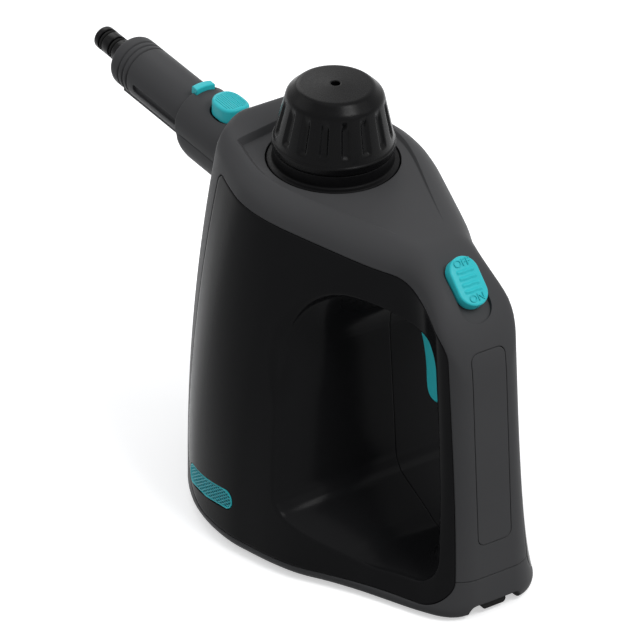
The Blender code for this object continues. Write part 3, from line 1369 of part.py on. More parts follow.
# Release lever: push pad, link under the collar's skin and latch bar over the joint.
pad_rings = []
for height_share, width_share in PAD_SHARES:
    height = PAD_LOW + (PAD_TOP - PAD_LOW) * height_share
    ring = []
    for point in oval(0):
        across = point.x * width_share
        along = PAD_PLACE + (point.y - PAD_PLACE) * width_share
        crown = PAD_CROWN * (1 - (across / PAD_HALF_WIDTH) ** 2) if height_share == 1 else 0
        ring.append(Vector((height + crown, across, along)))
    pad_rings.append(ring)
pad_rings.append([Vector((PAD_TOP + PAD_CROWN, 0, PAD_PLACE))])
lever = loft("release_lever", pad_rings)
lever.data.transform(NOZZLE_FRAME)
bar_profile = [
    (BAR_LOW, BAR_REAR),
    (BAR_TOP_RADIUS - BAR_EDGE, BAR_REAR),
    (BAR_TOP_RADIUS, BAR_REAR + BAR_EDGE),
    (BAR_TOP_RADIUS, BAR_FRONT - BAR_EDGE),
    (BAR_TOP_RADIUS - BAR_EDGE, BAR_FRONT),
    (BAR_LOW, BAR_FRONT),
]
bar = nozzle_turned("Bar", bar_profile, None, CAP_STEPS, closed=True)
bar_block_low = (0, -BAR_HALF_WIDTH, BAR_REAR - OVERRUN)
common(bar, nozzle_box("Bar block", bar_block_low, (OVERRUN, BAR_HALF_WIDTH, BAR_FRONT + OVERRUN), BAR_EDGE))
join(lever, bar)
pad_end = PAD_PLACE + PAD_HALF_LENGTH - LEVER_POST
link_low = (LINK_LOW, -LINK_HALF_WIDTH, pad_end - LEVER_POST)
link = nozzle_box("Link", link_low, (LINK_HIGH, LINK_HALF_WIDTH, BAR_REAR + LEVER_POST), BAR_EDGE)
for start in (pad_end - LEVER_POST, BAR_REAR + GAP):
    post_low = (LINK_LOW + GAP, -LINK_HALF_WIDTH + GAP, start + GAP)
    post_high = (BAR_LOW + LEVER_POST, LINK_HALF_WIDTH - GAP, start + LEVER_POST)
    join(link, nozzle_box("Post", post_low, post_high, GAP))
join(lever, link)
pivot_bore = rod("Pivot bore", LEVER_PIN_RADIUS + GAP, pivot_start, pivot_end)
pivot_bore.data.transform(NOZZLE_FRAME)
cut(lever, pivot_bore)
lever.data.materials.clear()
lever.data.materials.append(cyan)
pin_side = Vector((0, GAP, 0))
lever_pin = rod("lever_pin", LEVER_PIN_RADIUS, pivot_start + pin_side, pivot_end - pin_side, steel)
lever_pin.data.transform(NOZZLE_FRAME)

# Pull-off tube with its grooves, keel and side slots.
tube_profile = [
    (TUBE_BORE, SPIGOT_END),
    (SPIGOT_RADIUS, SPIGOT_END),
    (SPIGOT_RADIUS, TUBE_REAR),
    (TUBE_RADIUS, TUBE_REAR),
]
for place in TUBE_GROOVES:
    tube_profile.append((TUBE_RADIUS, place - GROOVE_WIDTH / 2))
    tube_profile.append((TUBE_RADIUS - GROOVE_DEPTH, place - GROOVE_WIDTH / 3))
    tube_profile.append((TUBE_RADIUS - GROOVE_DEPTH, place + GROOVE_WIDTH / 3))
    tube_profile.append((TUBE_RADIUS, place + GROOVE_WIDTH / 2))
tube_profile += [
    (TUBE_RADIUS, TUBE_FRONT - TUBE_EDGE),
    (TUBE_RADIUS - TUBE_EDGE / 3, TUBE_FRONT - TUBE_EDGE / 3),
    (TUBE_RADIUS - TUBE_EDGE, TUBE_FRONT),
    (SOCKET_RADIUS, TUBE_FRONT),
    (SOCKET_RADIUS, SOCKET_START),
    (FEED_BORE, SOCKET_START),
    (FEED_BORE, FEED_START),
    (TUBE_BORE, FEED_START),
]
tube = nozzle_turned("nozzle_tube", tube_profile, None, ROUND_STEPS, closed=True)
keel_high = (KEEL_LOW * HALF, KEEL_HALF_WIDTH, KEEL_FRONT)
keel = nozzle_box("Keel", (KEEL_LOW, -KEEL_HALF_WIDTH, KEEL_REAR), keel_high, KEEL_ROUND)
join(tube, keel)
for side in (-1, 1):
    slot_half = (SIDE_SLOT_FRONT - SIDE_SLOT_REAR) / 2
    slot_middle = (SIDE_SLOT_FRONT + SIDE_SLOT_REAR) / 2
    slot_high = (SIDE_SLOT_HALF_WIDTH, TUBE_RADIUS + OVERRUN, slot_half)
    slot_low = (-SIDE_SLOT_HALF_WIDTH, TUBE_RADIUS - SIDE_SLOT_DEPTH, -slot_half)
    slot = rounded_box("Side slot", slot_low, slot_high, SIDE_SLOT_HALF_WIDTH * ROUND_END_SHARE, "y")
    turn = Matrix.Rotation(SIDE_SLOT_ANGLE if side > 0 else math.pi - SIDE_SLOT_ANGLE, 4, "Z")
    slot.data.transform(NOZZLE_FRAME @ Matrix.Translation((0, 0, slot_middle)) @ turn)
    cut(tube, slot)
tube.data.materials.append(grey)

tip_profile = [(TIP_BORE, TIP_ROOT), (TIP_RADIUS, TIP_ROOT)]
for place in TIP_GROOVES:
    tip_profile.append((TIP_RADIUS, place - TIP_GROOVE_WIDTH / 2))
    tip_profile.append((TIP_GROOVE_RADIUS, place - TIP_GROOVE_WIDTH / 2))
    tip_profile.append((TIP_GROOVE_RADIUS, place + TIP_GROOVE_WIDTH / 2))
    tip_profile.append((TIP_RADIUS, place + TIP_GROOVE_WIDTH / 2))
tip_profile += [
    (TIP_RADIUS, TIP_REACH - TIP_EDGE),
    (TIP_RADIUS - TIP_EDGE / 3, TIP_REACH - TIP_EDGE / 3),
    (TIP_RADIUS - TIP_EDGE, TIP_REACH),
    (TIP_BORE, TIP_REACH),
]
tip = nozzle_turned("nozzle_tip", tip_profile, soft, SMALL_ROUND_STEPS, closed=True)
for place, name in zip(TIP_GROOVES, ("tip_o_ring_rear", "tip_o_ring_front")):
    middle = TIP_GROOVE_RADIUS + O_RING_RADIUS + SEAL_GAP
    profile = []
    for k in range(O_RING_STEPS):
        angle = math.tau * k / O_RING_STEPS
        profile.append((middle + O_RING_RADIUS * math.cos(angle), place + O_RING_RADIUS * math.sin(angle)))
    nozzle_turned(name, profile, rubber, SMALL_ROUND_STEPS, closed=True)

# Power switch in its recess and the switch under it.
button_low = GAP - RECESS_DEPTH
button_half = SWITCH_LENGTH / 2
button = slope_block("power_switch", -button_half, button_half, SWITCH_HALF_WIDTH, button_low, OVERRUN)
common(button, hull("Crown", -SWITCH_RISE, 0))
stem_low = -SWITCH_BODY_TOP + GAP
stem_top = GAP * 2 - RECESS_DEPTH
stem = slope_block("Stem", -STEM_LENGTH / 2, STEM_LENGTH / 2, STEM_HALF_WIDTH, stem_low, stem_top)
join(button, stem)
button.data.materials.clear()
button.data.materials.append(cyan)
body_low = -SWITCH_BODY_TOP - SWITCH_BODY_DEPTH
switch_body = rounded_box(
    "switch_body",
    (SWITCH_BODY_START, -SWITCH_BODY_HALF_WIDTH, body_low),
    (SWITCH_BODY_END, SWITCH_BODY_HALF_WIDTH, -SWITCH_BODY_TOP),
    SWITCH_BODY_RADIUS,
    "z",
)
for place in SWITCH_BLADES:
    blade_low = (place - SWITCH_TERMINAL / 2, -STEM_HALF_WIDTH, body_low - SWITCH_BLADE_LENGTH)
    blade_high = (place + SWITCH_TERMINAL / 2, STEM_HALF_WIDTH, body_low + SWITCH_BODY_RADIUS)
    join(switch_body, box("Blade", blade_low, blade_high))
switch_body.data.transform(switch_frame())
switch_body.data.materials.append(soft)


def smoothed(points, rounds):
    # Outline with its corners cut off a few times, which rounds it.
    for _ in range(rounds):
        after = points[1:] + points[:1]
        points = [a.lerp(b, t) for a, b in zip(points, after) for t in (QUARTER, 1 - QUARTER)]
    return points


def trigger_outline(shares):
    pin = Vector((TRIGGER_PIN_X, TRIGGER_PIN_Z))
    return smoothed([pin + Vector(share) * TRIGGER_HEIGHT for share in shares], 2)


trigger_rings = []
side_line = trigger_outline(TRIGGER_SHARES)
for side, inset_share, depth_share in TRIGGER_EDGE_SHARES:
    depth = side * (TRIGGER_HALF_WIDTH - TRIGGER_EDGE * depth_share)
    line = offset_outline(side_line, -TRIGGER_EDGE * inset_share) if inset_share else side_line
    trigger_rings.append([Vector((p.x, depth, p.y)) for p in line])
trigger = loft("trigger", trigger_rings)
hollow = TRIGGER_HALF_WIDTH - TRIGGER_WALL
cut(trigger, prism("Pocket", trigger_outline(TRIGGER_POCKET_SHARES), -hollow, hollow, "y"))
cut(trigger, rod("Pin bore", PIN_RADIUS + GAP, pin_from, pin_to))
trigger.data.materials.append(cyan)
trigger_pin = rod("trigger_pin", PIN_RADIUS, pin_middle - pin_reach, pin_middle + pin_reach, steel)

microswitch = rounded_box(
    "trigger_microswitch",
    (MICROSWITCH_FRONT, -MICROSWITCH_HALF_WIDTH, MICROSWITCH_LOW),
    (MICROSWITCH_REAR, MICROSWITCH_HALF_WIDTH, MICROSWITCH_HIGH),
    MICROSWITCH_BUTTON_RADIUS,
    "y",
)
nub_end = Vector((MICROSWITCH_FRONT + MICROSWITCH_BUTTON_RADIUS, 0, MICROSWITCH_BUTTON_Z))
nub_start = Vector((MICROSWITCH_FRONT - MICROSWITCH_BUTTON_LENGTH, 0, MICROSWITCH_BUTTON_Z))
join(microswitch, rod("Nub", MICROSWITCH_BUTTON_RADIUS, nub_start, nub_end))
microswitch.data.materials.append(soft)

for spare in (outer, inner):
    bpy.data.objects.remove(spare, do_unlink=True)

# Every moving piece has its origin on its own axis; the rest share one origin on the floor.
slide_start = TOP_FRAME @ Vector((0, 0, 0))
lever_axis = NOZZLE_FRAME @ Vector((LEVER_PIVOT_Z, 0, LEVER_PIVOT_PLACE))
nozzle_axis = NOZZLE_FRAME @ Vector((0, 0, TUBE_REAR))
ORIGINS = {
    "power_switch": Vector((SWITCH_X, 0, SWITCH_Z)),
    "trigger": pin_middle,
    "safety_cap": slide_start,
    "cap_plug": slide_start,
    "cap_seal": slide_start,
    "cap_spring": slide_start,
    "relief_valve": slide_start,
    "release_lever": lever_axis,
    "nozzle_tube": nozzle_axis,
    "nozzle_tip": nozzle_axis,
    "tip_o_ring_rear": nozzle_axis,
    "tip_o_ring_front": nozzle_axis,
}
STAND = Vector((CAP_X, 0, FOOT_RISE))
for obj in bpy.data.objects:
    origin = ORIGINS.get(obj.name, -STAND)
    obj.data.transform(Matrix.Translation(-origin))
    obj.location = origin + STAND
    obj.data.shade_smooth()
    obj.data.set_sharp_from_angle(angle=SHARP_ANGLE)
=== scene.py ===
import json
import math

import bmesh
import bpy
from mathutils import Matrix, Vector
from mathutils.bvhtree import BVHTree

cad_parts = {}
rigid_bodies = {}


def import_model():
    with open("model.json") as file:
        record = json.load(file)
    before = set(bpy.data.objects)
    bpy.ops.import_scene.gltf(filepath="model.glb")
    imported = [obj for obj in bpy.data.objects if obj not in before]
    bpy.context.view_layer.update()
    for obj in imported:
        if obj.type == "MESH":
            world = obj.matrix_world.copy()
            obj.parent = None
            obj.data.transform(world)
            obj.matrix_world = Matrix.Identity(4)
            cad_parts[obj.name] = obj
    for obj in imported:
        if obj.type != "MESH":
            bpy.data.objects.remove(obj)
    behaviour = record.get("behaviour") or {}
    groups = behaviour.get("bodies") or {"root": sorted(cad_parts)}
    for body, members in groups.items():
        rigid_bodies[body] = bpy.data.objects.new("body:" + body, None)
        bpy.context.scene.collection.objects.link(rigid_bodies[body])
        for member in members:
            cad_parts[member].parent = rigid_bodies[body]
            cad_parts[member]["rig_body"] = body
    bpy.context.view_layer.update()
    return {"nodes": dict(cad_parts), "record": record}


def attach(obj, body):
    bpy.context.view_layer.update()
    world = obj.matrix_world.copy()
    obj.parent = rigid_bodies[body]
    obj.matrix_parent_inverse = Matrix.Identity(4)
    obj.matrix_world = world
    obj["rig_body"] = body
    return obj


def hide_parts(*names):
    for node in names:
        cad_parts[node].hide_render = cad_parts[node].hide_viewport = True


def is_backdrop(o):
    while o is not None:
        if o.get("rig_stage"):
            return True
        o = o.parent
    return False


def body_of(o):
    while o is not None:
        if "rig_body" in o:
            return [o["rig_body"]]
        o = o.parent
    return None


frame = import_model()
nodes = frame["nodes"]
print("frame loaded:", len(nodes), "nodes")

# The camera stands at the photograph's angle, far off behind a long lens.
cameraSetup = {
    "place": (1.8504, -1.2395, 1.4011),
    "tiltDegrees": (59.1, 0.0, 55.9),
    "lens": 337.5,
    "sensor": 36.0,
}
cameraData = bpy.data.cameras.new("photo view")
cameraData.lens = cameraSetup["lens"]
cameraData.sensor_width = cameraSetup["sensor"]
cameraData.clip_end = 20.0
camera = bpy.data.objects.new("photo view", cameraData)
camera.location = cameraSetup["place"]
camera.rotation_euler = [math.radians(a) for a in cameraSetup["tiltDegrees"]]
bpy.context.scene.collection.objects.link(camera)
bpy.context.scene.camera = camera
bpy.context.scene.view_settings.view_transform = "Standard"


def hexColour(code):
    # An sRGB hex value as a linear colour.
    channels = [int(code[i : i + 2], 16) / 255 for i in (1, 3, 5)]
    linear = [c / 12.92 if c <= 0.04045 else ((c + 0.055) / 1.055) ** 2.4 for c in channels]
    return (*linear, 1.0)


def addNode(tree, kind, settings=None, links=None):
    # A node with its settings and links. Lower-case setting names are attributes, the rest are inputs.
    node = tree.nodes.new(kind)
    for key, value in (settings or {}).items():
        if isinstance(key, str) and hasattr(node, key):
            setattr(node, key, value)
        else:
            node.inputs[key].default_value = value
    for key, socket in (links or {}).items():
        tree.links.new(socket, node.inputs[key])
    return node


def newMaterial(name, colour, roughness, **extra):
    # A principled shader with its constants on its own sockets.
    made = bpy.data.materials.new(name)
    made.use_nodes = True
    shader = made.node_tree.nodes["Principled BSDF"]
    shader.inputs["Base Color"].default_value = hexColour(colour)
    shader.inputs["Roughness"].default_value = roughness
    for key, value in extra.items():
        shader.inputs[key.replace("_", " ")].default_value = value
    return made


def mouldedFinish(made, grain, depth, rounding, tints, tintSize, roughRange, speckSize):
    # grain: texture pitch in metres; depth: its height; rounding: radius that mould edges show.
    # tints: two hex colours that drift into each other over tintSize; roughRange follows speckSize.
    tree = made.node_tree
    shader = tree.nodes["Principled BSDF"]
    place = addNode(tree, "ShaderNodeTexCoord").outputs["Object"]
    drift = addNode(tree, "ShaderNodeTexNoise", {"Scale": 1 / tintSize, "Detail": 3.0}, {"Vector": place})
    tint = addNode(tree, "ShaderNodeMix", {"data_type": "RGBA", 6: hexColour(tints[0]), 7: hexColour(tints[1])})
    tree.links.new(drift.outputs["Fac"], tint.inputs[0])
    tree.links.new(tint.outputs[2], shader.inputs["Base Color"])
    speck = addNode(tree, "ShaderNodeTexNoise", {"Scale": 1 / speckSize, "Detail": 4.0}, {"Vector": place})
    rough = addNode(
        tree,
        "ShaderNodeMapRange",
        {"From Min": 0.3, "From Max": 0.7, "To Min": roughRange[0], "To Max": roughRange[1]},
        {"Value": speck.outputs["Fac"]},
    )
    tree.links.new(rough.outputs["Result"], shader.inputs["Roughness"])
    edges = addNode(tree, "ShaderNodeBevel", {"samples": 6, "Radius": rounding})
    fine = addNode(tree, "ShaderNodeTexNoise", {"Scale": 1 / grain, "Detail": 2.0}, {"Vector": place})
    bump = addNode(
        tree,
        "ShaderNodeBump",
        {"Distance": depth, "Strength": 1.0},
        {"Height": fine.outputs["Fac"], "Normal": edges.outputs["Normal"]},
    )
    tree.links.new(bump.outputs["Normal"], shader.inputs["Normal"])
    return made


# Moulded ABS from a spark-eroded tool: an even charcoal with a soft, wide sheen.
satinShell = mouldedFinish(
    newMaterial("satin charcoal ABS", "#484849", 0.42, IOR=1.50, Specular_IOR_Level=0.03),
    grain=0.0006, depth=0.000012, rounding=0.0007,
    tints=("#464647", "#4b4b4c"), tintSize=0.05, roughRange=(0.38, 0.46), speckSize=0.0012,
)
# Polished ABS panel: deep black with a dim mirror of what stands round it and a trace of ripple.
pianoPanel = mouldedFinish(
    newMaterial("polished black ABS", "#19191a", 0.2, IOR=1.50, Specular_IOR_Level=0.03),
    grain=0.007, depth=0.00002, rounding=0.0006,
    tints=("#161617", "#1c1c1d"), tintSize=0.06, roughRange=(0.17, 0.22), speckSize=0.004,
)
# Glass-filled nylon, lightly polished: black with broad soft highlights on each flute.
capNylon = mouldedFinish(
    newMaterial("semi-gloss black nylon", "#080809", 0.27, IOR=1.53, Specular_IOR_Level=0.08),
    grain=0.0009, depth=0.00001, rounding=0.0006,
    tints=("#080809", "#0b0b0c"), tintSize=0.03, roughRange=(0.24, 0.31), speckSize=0.0015,
)
# Matt side of the same nylon, for the ring under the cap and the inner mouldings.
mattNylon = mouldedFinish(
    newMaterial("matt black nylon", "#050506", 0.5, IOR=1.53, Specular_IOR_Level=0.08),
    grain=0.0005, depth=0.000015, rounding=0.0004,
    tints=("#040405", "#070708"), tintSize=0.03, roughRange=(0.45, 0.58), speckSize=0.001,
)
# Through-coloured ABS of the keys: bright cyan, half dull, with a fine tool grain.
cyanKeys = mouldedFinish(
    newMaterial("cyan key ABS", "#31c3cb", 0.38, IOR=1.50, Specular_IOR_Level=0.2),
    grain=0.0005, depth=0.00001, rounding=0.0005,
    tints=("#2fc0c9", "#35c8cf"), tintSize=0.02, roughRange=(0.34, 0.43), speckSize=0.0008,
)
# The inlay's crossed ridges: teal, a shade under the keys, so that the border stands out.
tealInlay = mouldedFinish(
    newMaterial("teal inlay ABS", "#35b4bf", 0.34, IOR=1.50, Specular_IOR_Level=0.15),
    grain=0.0005, depth=0.00001, rounding=0.0002,
    tints=("#32adb8", "#3abac6"), tintSize=0.01, roughRange=(0.30, 0.38), speckSize=0.0008,
)
# Moulded nitrile: dull black with a faint bloom.
mouldedRubber = mouldedFinish(
    newMaterial("moulded nitrile rubber", "#0d0d0d", 0.7, IOR=1.52, Specular_IOR_Level=0.12),
    grain=0.0004, depth=0.00002, rounding=0.0003,
    tints=("#131313", "#1b1b1a"), tintSize=0.008, roughRange=(0.62, 0.78), speckSize=0.001,
)
# Zinc-plated steel: bright grey with the faint blue-yellow drift of its passivation.
platedSteel = mouldedFinish(
    newMaterial("zinc-plated steel", "#b4b6ba", 0.3, Metallic=1.0),
    grain=0.0003, depth=0.000006, rounding=0.0002,
    tints=("#aeb2ba", "#bdbab0"), tintSize=0.006, roughRange=(0.24, 0.36), speckSize=0.0006,
)
# Turned brass of the valve and pipes: warm, with fine tool marks and dull spots.
turnedBrass = mouldedFinish(
    newMaterial("turned brass", "#c79a4b", 0.28, Metallic=1.0),
    grain=0.00035, depth=0.000008, rounding=0.0002,
    tints=("#c2944a", "#d1a85c"), tintSize=0.01, roughRange=(0.22, 0.38), speckSize=0.002,
)
# Die-cast aluminium of the boiler: pale, slightly rough skin.
castAluminium = mouldedFinish(
    newMaterial("die-cast aluminium", "#b9bbbc", 0.42, Metallic=1.0),
    grain=0.0009, depth=0.00004, rounding=0.0005,
    tints=("#b1b3b4", "#c2c3c3"), tintSize=0.015, roughRange=(0.36, 0.52), speckSize=0.002,
)
# Heat-resistant polyester resin of the thermostat, fuse and valve coil: warm off-white.
heatResin = mouldedFinish(
    newMaterial("off-white polyester resin", "#d9d4c6", 0.5, IOR=1.54),
    grain=0.0005, depth=0.000012, rounding=0.0003,
    tints=("#d4cfc0", "#dedacd"), tintSize=0.01, roughRange=(0.44, 0.56), speckSize=0.001,
)
finishes = {
    "shell_grey": satinShell,
    "gloss_black": pianoPanel,
    "soft_black": capNylon,
    "cyan": cyanKeys,
    "rubber": mouldedRubber,
    "steel": platedSteel,
    "cast_aluminium": castAluminium,
    "brass": turnedBrass,
    "heat_plastic": heatResin,
}
for part in frame["record"]["subparts"]:
    finish = mattNylon if part["node"] in ("neck_collar", "switch_body", "trigger_microswitch") else None
    carried = nodes[part["node"]]
    carried.data.materials.clear()
    carried.data.materials.append(finish or finishes[part["material_slot"]])
print("materials ready:", len(bpy.data.materials))

# The body's surface, in metres: x runs back from the cap's axis, z up from the body's bottom.
bodyShape = {
    "length": 0.192,
    "height": 0.161,
    "baseHalfWidth": 0.06687,
    "deckHalfWidth": 0.041,
    "noseToCap": 0.074,
    "rimTilt": math.radians(4.1),
    "rimRise": 0.00165,
    "noseLean": 0.019,
    "noseRun": 0.030,
    "noseFlat": 0.008,
    "noseTopRadius": 0.014,
    "noseLeanReachShare": 0.23,
    "rearLean": math.radians(4.16),
    "rearLeanStartShare": 0.70,
    "rearLeanEndShare": 0.93,
    "rearLeanMiddleShare": 0.42,
    "rearTopRadius": 0.040,
    "rearCornerRadius": 0.012,
    "deckEdgeRadius": 0.009,
    "baseEdgeRadius": 0.006,
    "flareStartShare": 0.70,
    "flareEndShare": 0.91,
    "frontFlarePower": 2,
    "rearFlarePower": 5,
    "leastRadius": 0.001,
    "edgeWidthShare": 0.9,
    "gap": 0.0003,
    "overrun": 0.02,
    "levelNearness": 1e-7,
    "partingHeight": 0.0182,
    "topTilt": math.radians(2.7),
    "nozzleDrop": 0.0312,
    "widthShares": (
        (0.000, 0.450, 0.585),
        (0.073, 0.567, 0.695),
        (0.125, 0.642, 0.756),
        (0.188, 0.754, 0.817),
        (0.240, 0.850, 0.878),
        (0.302, 0.933, 0.951),
        (0.359, 0.978, 0.995),
        (0.422, 1.000, 0.976),
        (0.484, 0.996, 0.900),
        (0.536, 0.967, 0.812),
        (0.604, 0.918, 0.690),
        (0.667, 0.850, 0.580),
        (0.729, 0.742, 0.480),
        (0.786, 0.650, 0.412),
        (0.844, 0.567, 0.395),
        (0.896, 0.493, 0.415),
        (0.948, 0.410, 0.459),
        (1.000, 0.328, 0.488),
    ),
}

# Side panel and hand opening. Corners are place along the body, height and radius, as shares.
panelShape = {
    "panelCornerShares": (
        (0.229, 0.948, 0.030),
        (0.800, 0.905, 0.140),
        (0.950, 0.795, 0.100),
        (1.005, 0.031, 0.075),
        (0.224, 0.043, 0.186),
    ),
    "mouthCornerShares": (
        (0.549, 0.888, 0.186),
        (0.922, 0.764, 0.087),
        (0.982, 0.081, 0.075),
        (0.813, 0.078, 0.155),
        (0.609, 0.180, 0.075),
    ),
    "coreWidthShare": 0.75,
    "coreHeightShare": 1.02,
    "mouthCentreX": 0.072,
    "mouthCentreZ": 0.075,
    "frontPinchShare": 0.19,
    "rearPinchShare": 0.40,
    "heightPinchShare": 0.10,
    "pinchPower": 3,
    "scoopReach": 0.010,
    "scoopPower": 9,
    "scoopAngle": math.radians(135),
    "scoopSpread": math.radians(50),
}
# How finely curves and leans are followed, and from which angle an edge stays sharp.
fineness = {
    "leanSteps": 4,
    "leastSpread": 0.3,
    "sharpDegrees": 32,
}


def clamp01(value):
    return max(0.0, min(1.0, value))


def smoothStep(low, high, value):
    t = clamp01((value - low) / (high - low))
    return t * t * (3 - 2 * t)


def splineValue(place, column):
    # Smooth curve through one column of bodyShape["widthShares"].
    rows = bodyShape["widthShares"]
    place = clamp01(place)
    i = 0
    while i < len(rows) - 2 and place > rows[i + 1][0]:
        i += 1
    before = rows[max(i - 1, 0)]
    start = rows[i]
    end = rows[i + 1]
    after = rows[min(i + 2, len(rows) - 1)]
    span = end[0] - start[0]
    slope0 = (end[column] - before[column]) / (end[0] - before[0])
    slope1 = (after[column] - start[column]) / (after[0] - start[0])
    t = (place - start[0]) / span
    h1 = t * t * (3 - 2 * t)
    h2 = t * (1 - t) * (1 - t)
    h3 = t * t * (t - 1)
    rise = start[column] + (end[column] - start[column]) * h1
    return rise + span * (slope0 * h2 + slope1 * h3)


def roundOff(distance, radius):
    # How far a rounded edge of this radius has drawn back, this far from the end face.
    if distance >= radius:
        return 0.0
    left = radius - max(distance, 0.0)
    return radius - math.sqrt(max(radius * radius - left * left, 0.0))


def deckHeight(s, inset):
    # Height of the deck line at this distance behind the nose, in the upright body.
    x = s - bodyShape["noseToCap"]
    top = bodyShape["height"] + bodyShape["rimRise"] - math.tan(bodyShape["rimTilt"]) * x - inset
    top -= roundOff(s - inset, bodyShape["noseTopRadius"] - inset)
    return top - roundOff(bodyShape["length"] - inset - s, bodyShape["rearTopRadius"] - inset)


def floorHeight(s, inset):
    radius = max(bodyShape["baseEdgeRadius"] - inset, bodyShape["leastRadius"])
    low = inset + roundOff(s - inset, radius)
    return low + roundOff(bodyShape["length"] - inset - s, radius)


def halfWidth(s, z, inset):
    place = s / bodyShape["length"]
    base = bodyShape["baseHalfWidth"] * splineValue(place, 1)
    deck = bodyShape["deckHalfWidth"] * splineValue(place, 2)
    depth = 1 - clamp01(z / bodyShape["height"])
    front = 1 - (1 - depth) ** bodyShape["frontFlarePower"]
    rear = depth ** bodyShape["rearFlarePower"]
    mix = smoothStep(bodyShape["flareStartShare"], bodyShape["flareEndShare"], place)
    flare = front + (rear - front) * mix
    width = deck + (base - deck) * flare - inset
    run = bodyShape["noseRun"] - inset
    left = max(run - (s - inset), 0.0) / run
    width = bodyShape["noseFlat"] + (width - bodyShape["noseFlat"]) * math.sqrt(max(1 - left * left, 0.0))
    return width - roundOff(bodyShape["length"] - inset - s, bodyShape["rearCornerRadius"] - inset)


def leanShift(s, z):
    # The nose draws back towards the deck, and the grip's back leans forward.
    place = s / bodyShape["length"]
    depth = 1 - clamp01(z / bodyShape["height"])
    nose = bodyShape["noseLean"] * (1 - depth) ** bodyShape["frontFlarePower"]
    nose *= 1 - smoothStep(0.0, bodyShape["noseLeanReachShare"], place)
    rear = (bodyShape["height"] * bodyShape["rearLeanMiddleShare"] - z) * math.tan(bodyShape["rearLean"])
    return nose + rear * smoothStep(bodyShape["rearLeanStartShare"], bodyShape["rearLeanEndShare"], place)


def hullPlace(x, z):
    # Distance behind the nose, in the upright body, of a point at this height. x is from the cap.
    s = x + bodyShape["noseToCap"]
    for _ in range(fineness["leanSteps"]):
        s = x + bodyShape["noseToCap"] - leanShift(s, z)
    return max(0.0, min(bodyShape["length"], s))


def roundedOutline(corners, steps=12):
    # Closed outline with an arc at each corner. A corner is (across, up, radius).
    points = []
    count = len(corners)
    for i, (x, z, radius) in enumerate(corners):
        here = Vector((x, z))
        back = (Vector(corners[i - 1][:2]) - here).normalized()
        ahead = (Vector(corners[(i + 1) % count][:2]) - here).normalized()
        half = back.angle(ahead) / 2
        centre = here + (back + ahead).normalized() * (radius / math.sin(half))
        reach = radius / math.tan(half)
        start = here + back * reach - centre
        end = here + ahead * reach - centre
        sweep = math.copysign(math.pi - 2 * half, start.cross(end))
        for k in range(steps + 1):
            points.append(centre + Matrix.Rotation(sweep * k / steps, 2) @ start)
    return points


def offsetOutline(points, distance):
    # The same outline grown outwards by a distance. The points run clockwise or anticlockwise.
    count = len(points)
    area = sum(points[i - 1].cross(points[i]) for i in range(count))
    side = 1 if area > 0 else -1
    grown = []
    for i, point in enumerate(points):
        before = (point - points[i - 1]).normalized()
        after = (points[(i + 1) % count] - point).normalized()
        normal = Vector((before.y + after.y, -before.x - after.x)).normalized() * side
        spread = math.sqrt((1 + before.dot(after)) / 2)
        grown.append(point + normal * (distance / max(spread, fineness["leastSpread"])))
    return grown


def sideCorners(shares):
    corners = []
    for place, height, radius in shares:
        x = place * bodyShape["length"] - bodyShape["noseToCap"]
        corners.append((x, height * bodyShape["height"], radius * bodyShape["height"]))
    return corners


def scoopShare(angle):
    # 1 in the middle of the scoop in the mouth's edge, falling to 0 at its ends.
    off = abs((angle - panelShape["scoopAngle"] + math.pi) % math.tau - math.pi)
    if off > panelShape["scoopSpread"]:
        return 0.0
    return math.cos(off / panelShape["scoopSpread"] * math.pi / 2) ** 2


def mouthRing(outline, share, grow=0.0):
    # The hand opening's outline at one place across the body.
    depth = abs(share)
    closing = 1 - depth ** panelShape["pinchPower"]
    centre = Vector((panelShape["mouthCentreX"], panelShape["mouthCentreZ"]))
    ring = []
    for point in outline:
        arm = point - centre
        pinch = panelShape["frontPinchShare"] if arm.x < 0 else panelShape["rearPinchShare"]
        scoop = panelShape["scoopReach"] * depth ** panelShape["scoopPower"]
        scoop *= scoopShare(math.atan2(arm.y, arm.x))
        there = Vector((arm.x * (1 - pinch * closing), arm.y * (1 - panelShape["heightPinchShare"] * closing)))
        ring.append(centre + there + arm.normalized() * scoop)
    if grow:
        ring = offsetOutline(ring, grow)
    side = -1 if share < 0 else 1
    placed = []
    for point, rim in zip(ring, outline):
        reach = outerHalfWidth(rim.x, rim.y) * depth
        placed.append(Vector((point.x, side * reach, point.y)))
    return placed


def outerHalfWidth(x, z):
    return halfWidth(hullPlace(x, z), z, 0.0)


def surfaceWidth(x, z, inset=0.0):
    # Half width of the finished surface, with the rounding under the deck and above the floor.
    s = hullPlace(x, z)
    low = floorHeight(s, inset)
    high = deckHeight(s, inset)
    width = halfWidth(s, z, inset)
    lowRadius = min(bodyShape["baseEdgeRadius"], halfWidth(s, low, inset) * bodyShape["edgeWidthShare"])
    highRadius = min(bodyShape["deckEdgeRadius"], halfWidth(s, high, inset) * bodyShape["edgeWidthShare"])
    into = clamp01((low + lowRadius - z) / lowRadius)
    width -= lowRadius * (1 - math.sqrt(1 - into * into))
    into = clamp01((z - high + highRadius) / highRadius)
    return width - highRadius * (1 - math.sqrt(1 - into * into))


def meshPiece(name, bm, material=None):
    # An object from a bmesh, with its faces pointing outwards.
    bmesh.ops.remove_doubles(bm, verts=bm.verts, dist=0.0000005)
    bmesh.ops.recalc_face_normals(bm, faces=bm.faces)
    mesh = bpy.data.meshes.new(name)
    bm.to_mesh(mesh)
    bm.free()
    obj = bpy.data.objects.new(name, mesh)
    bpy.context.scene.collection.objects.link(obj)
    if material:
        mesh.materials.append(material)
    return obj


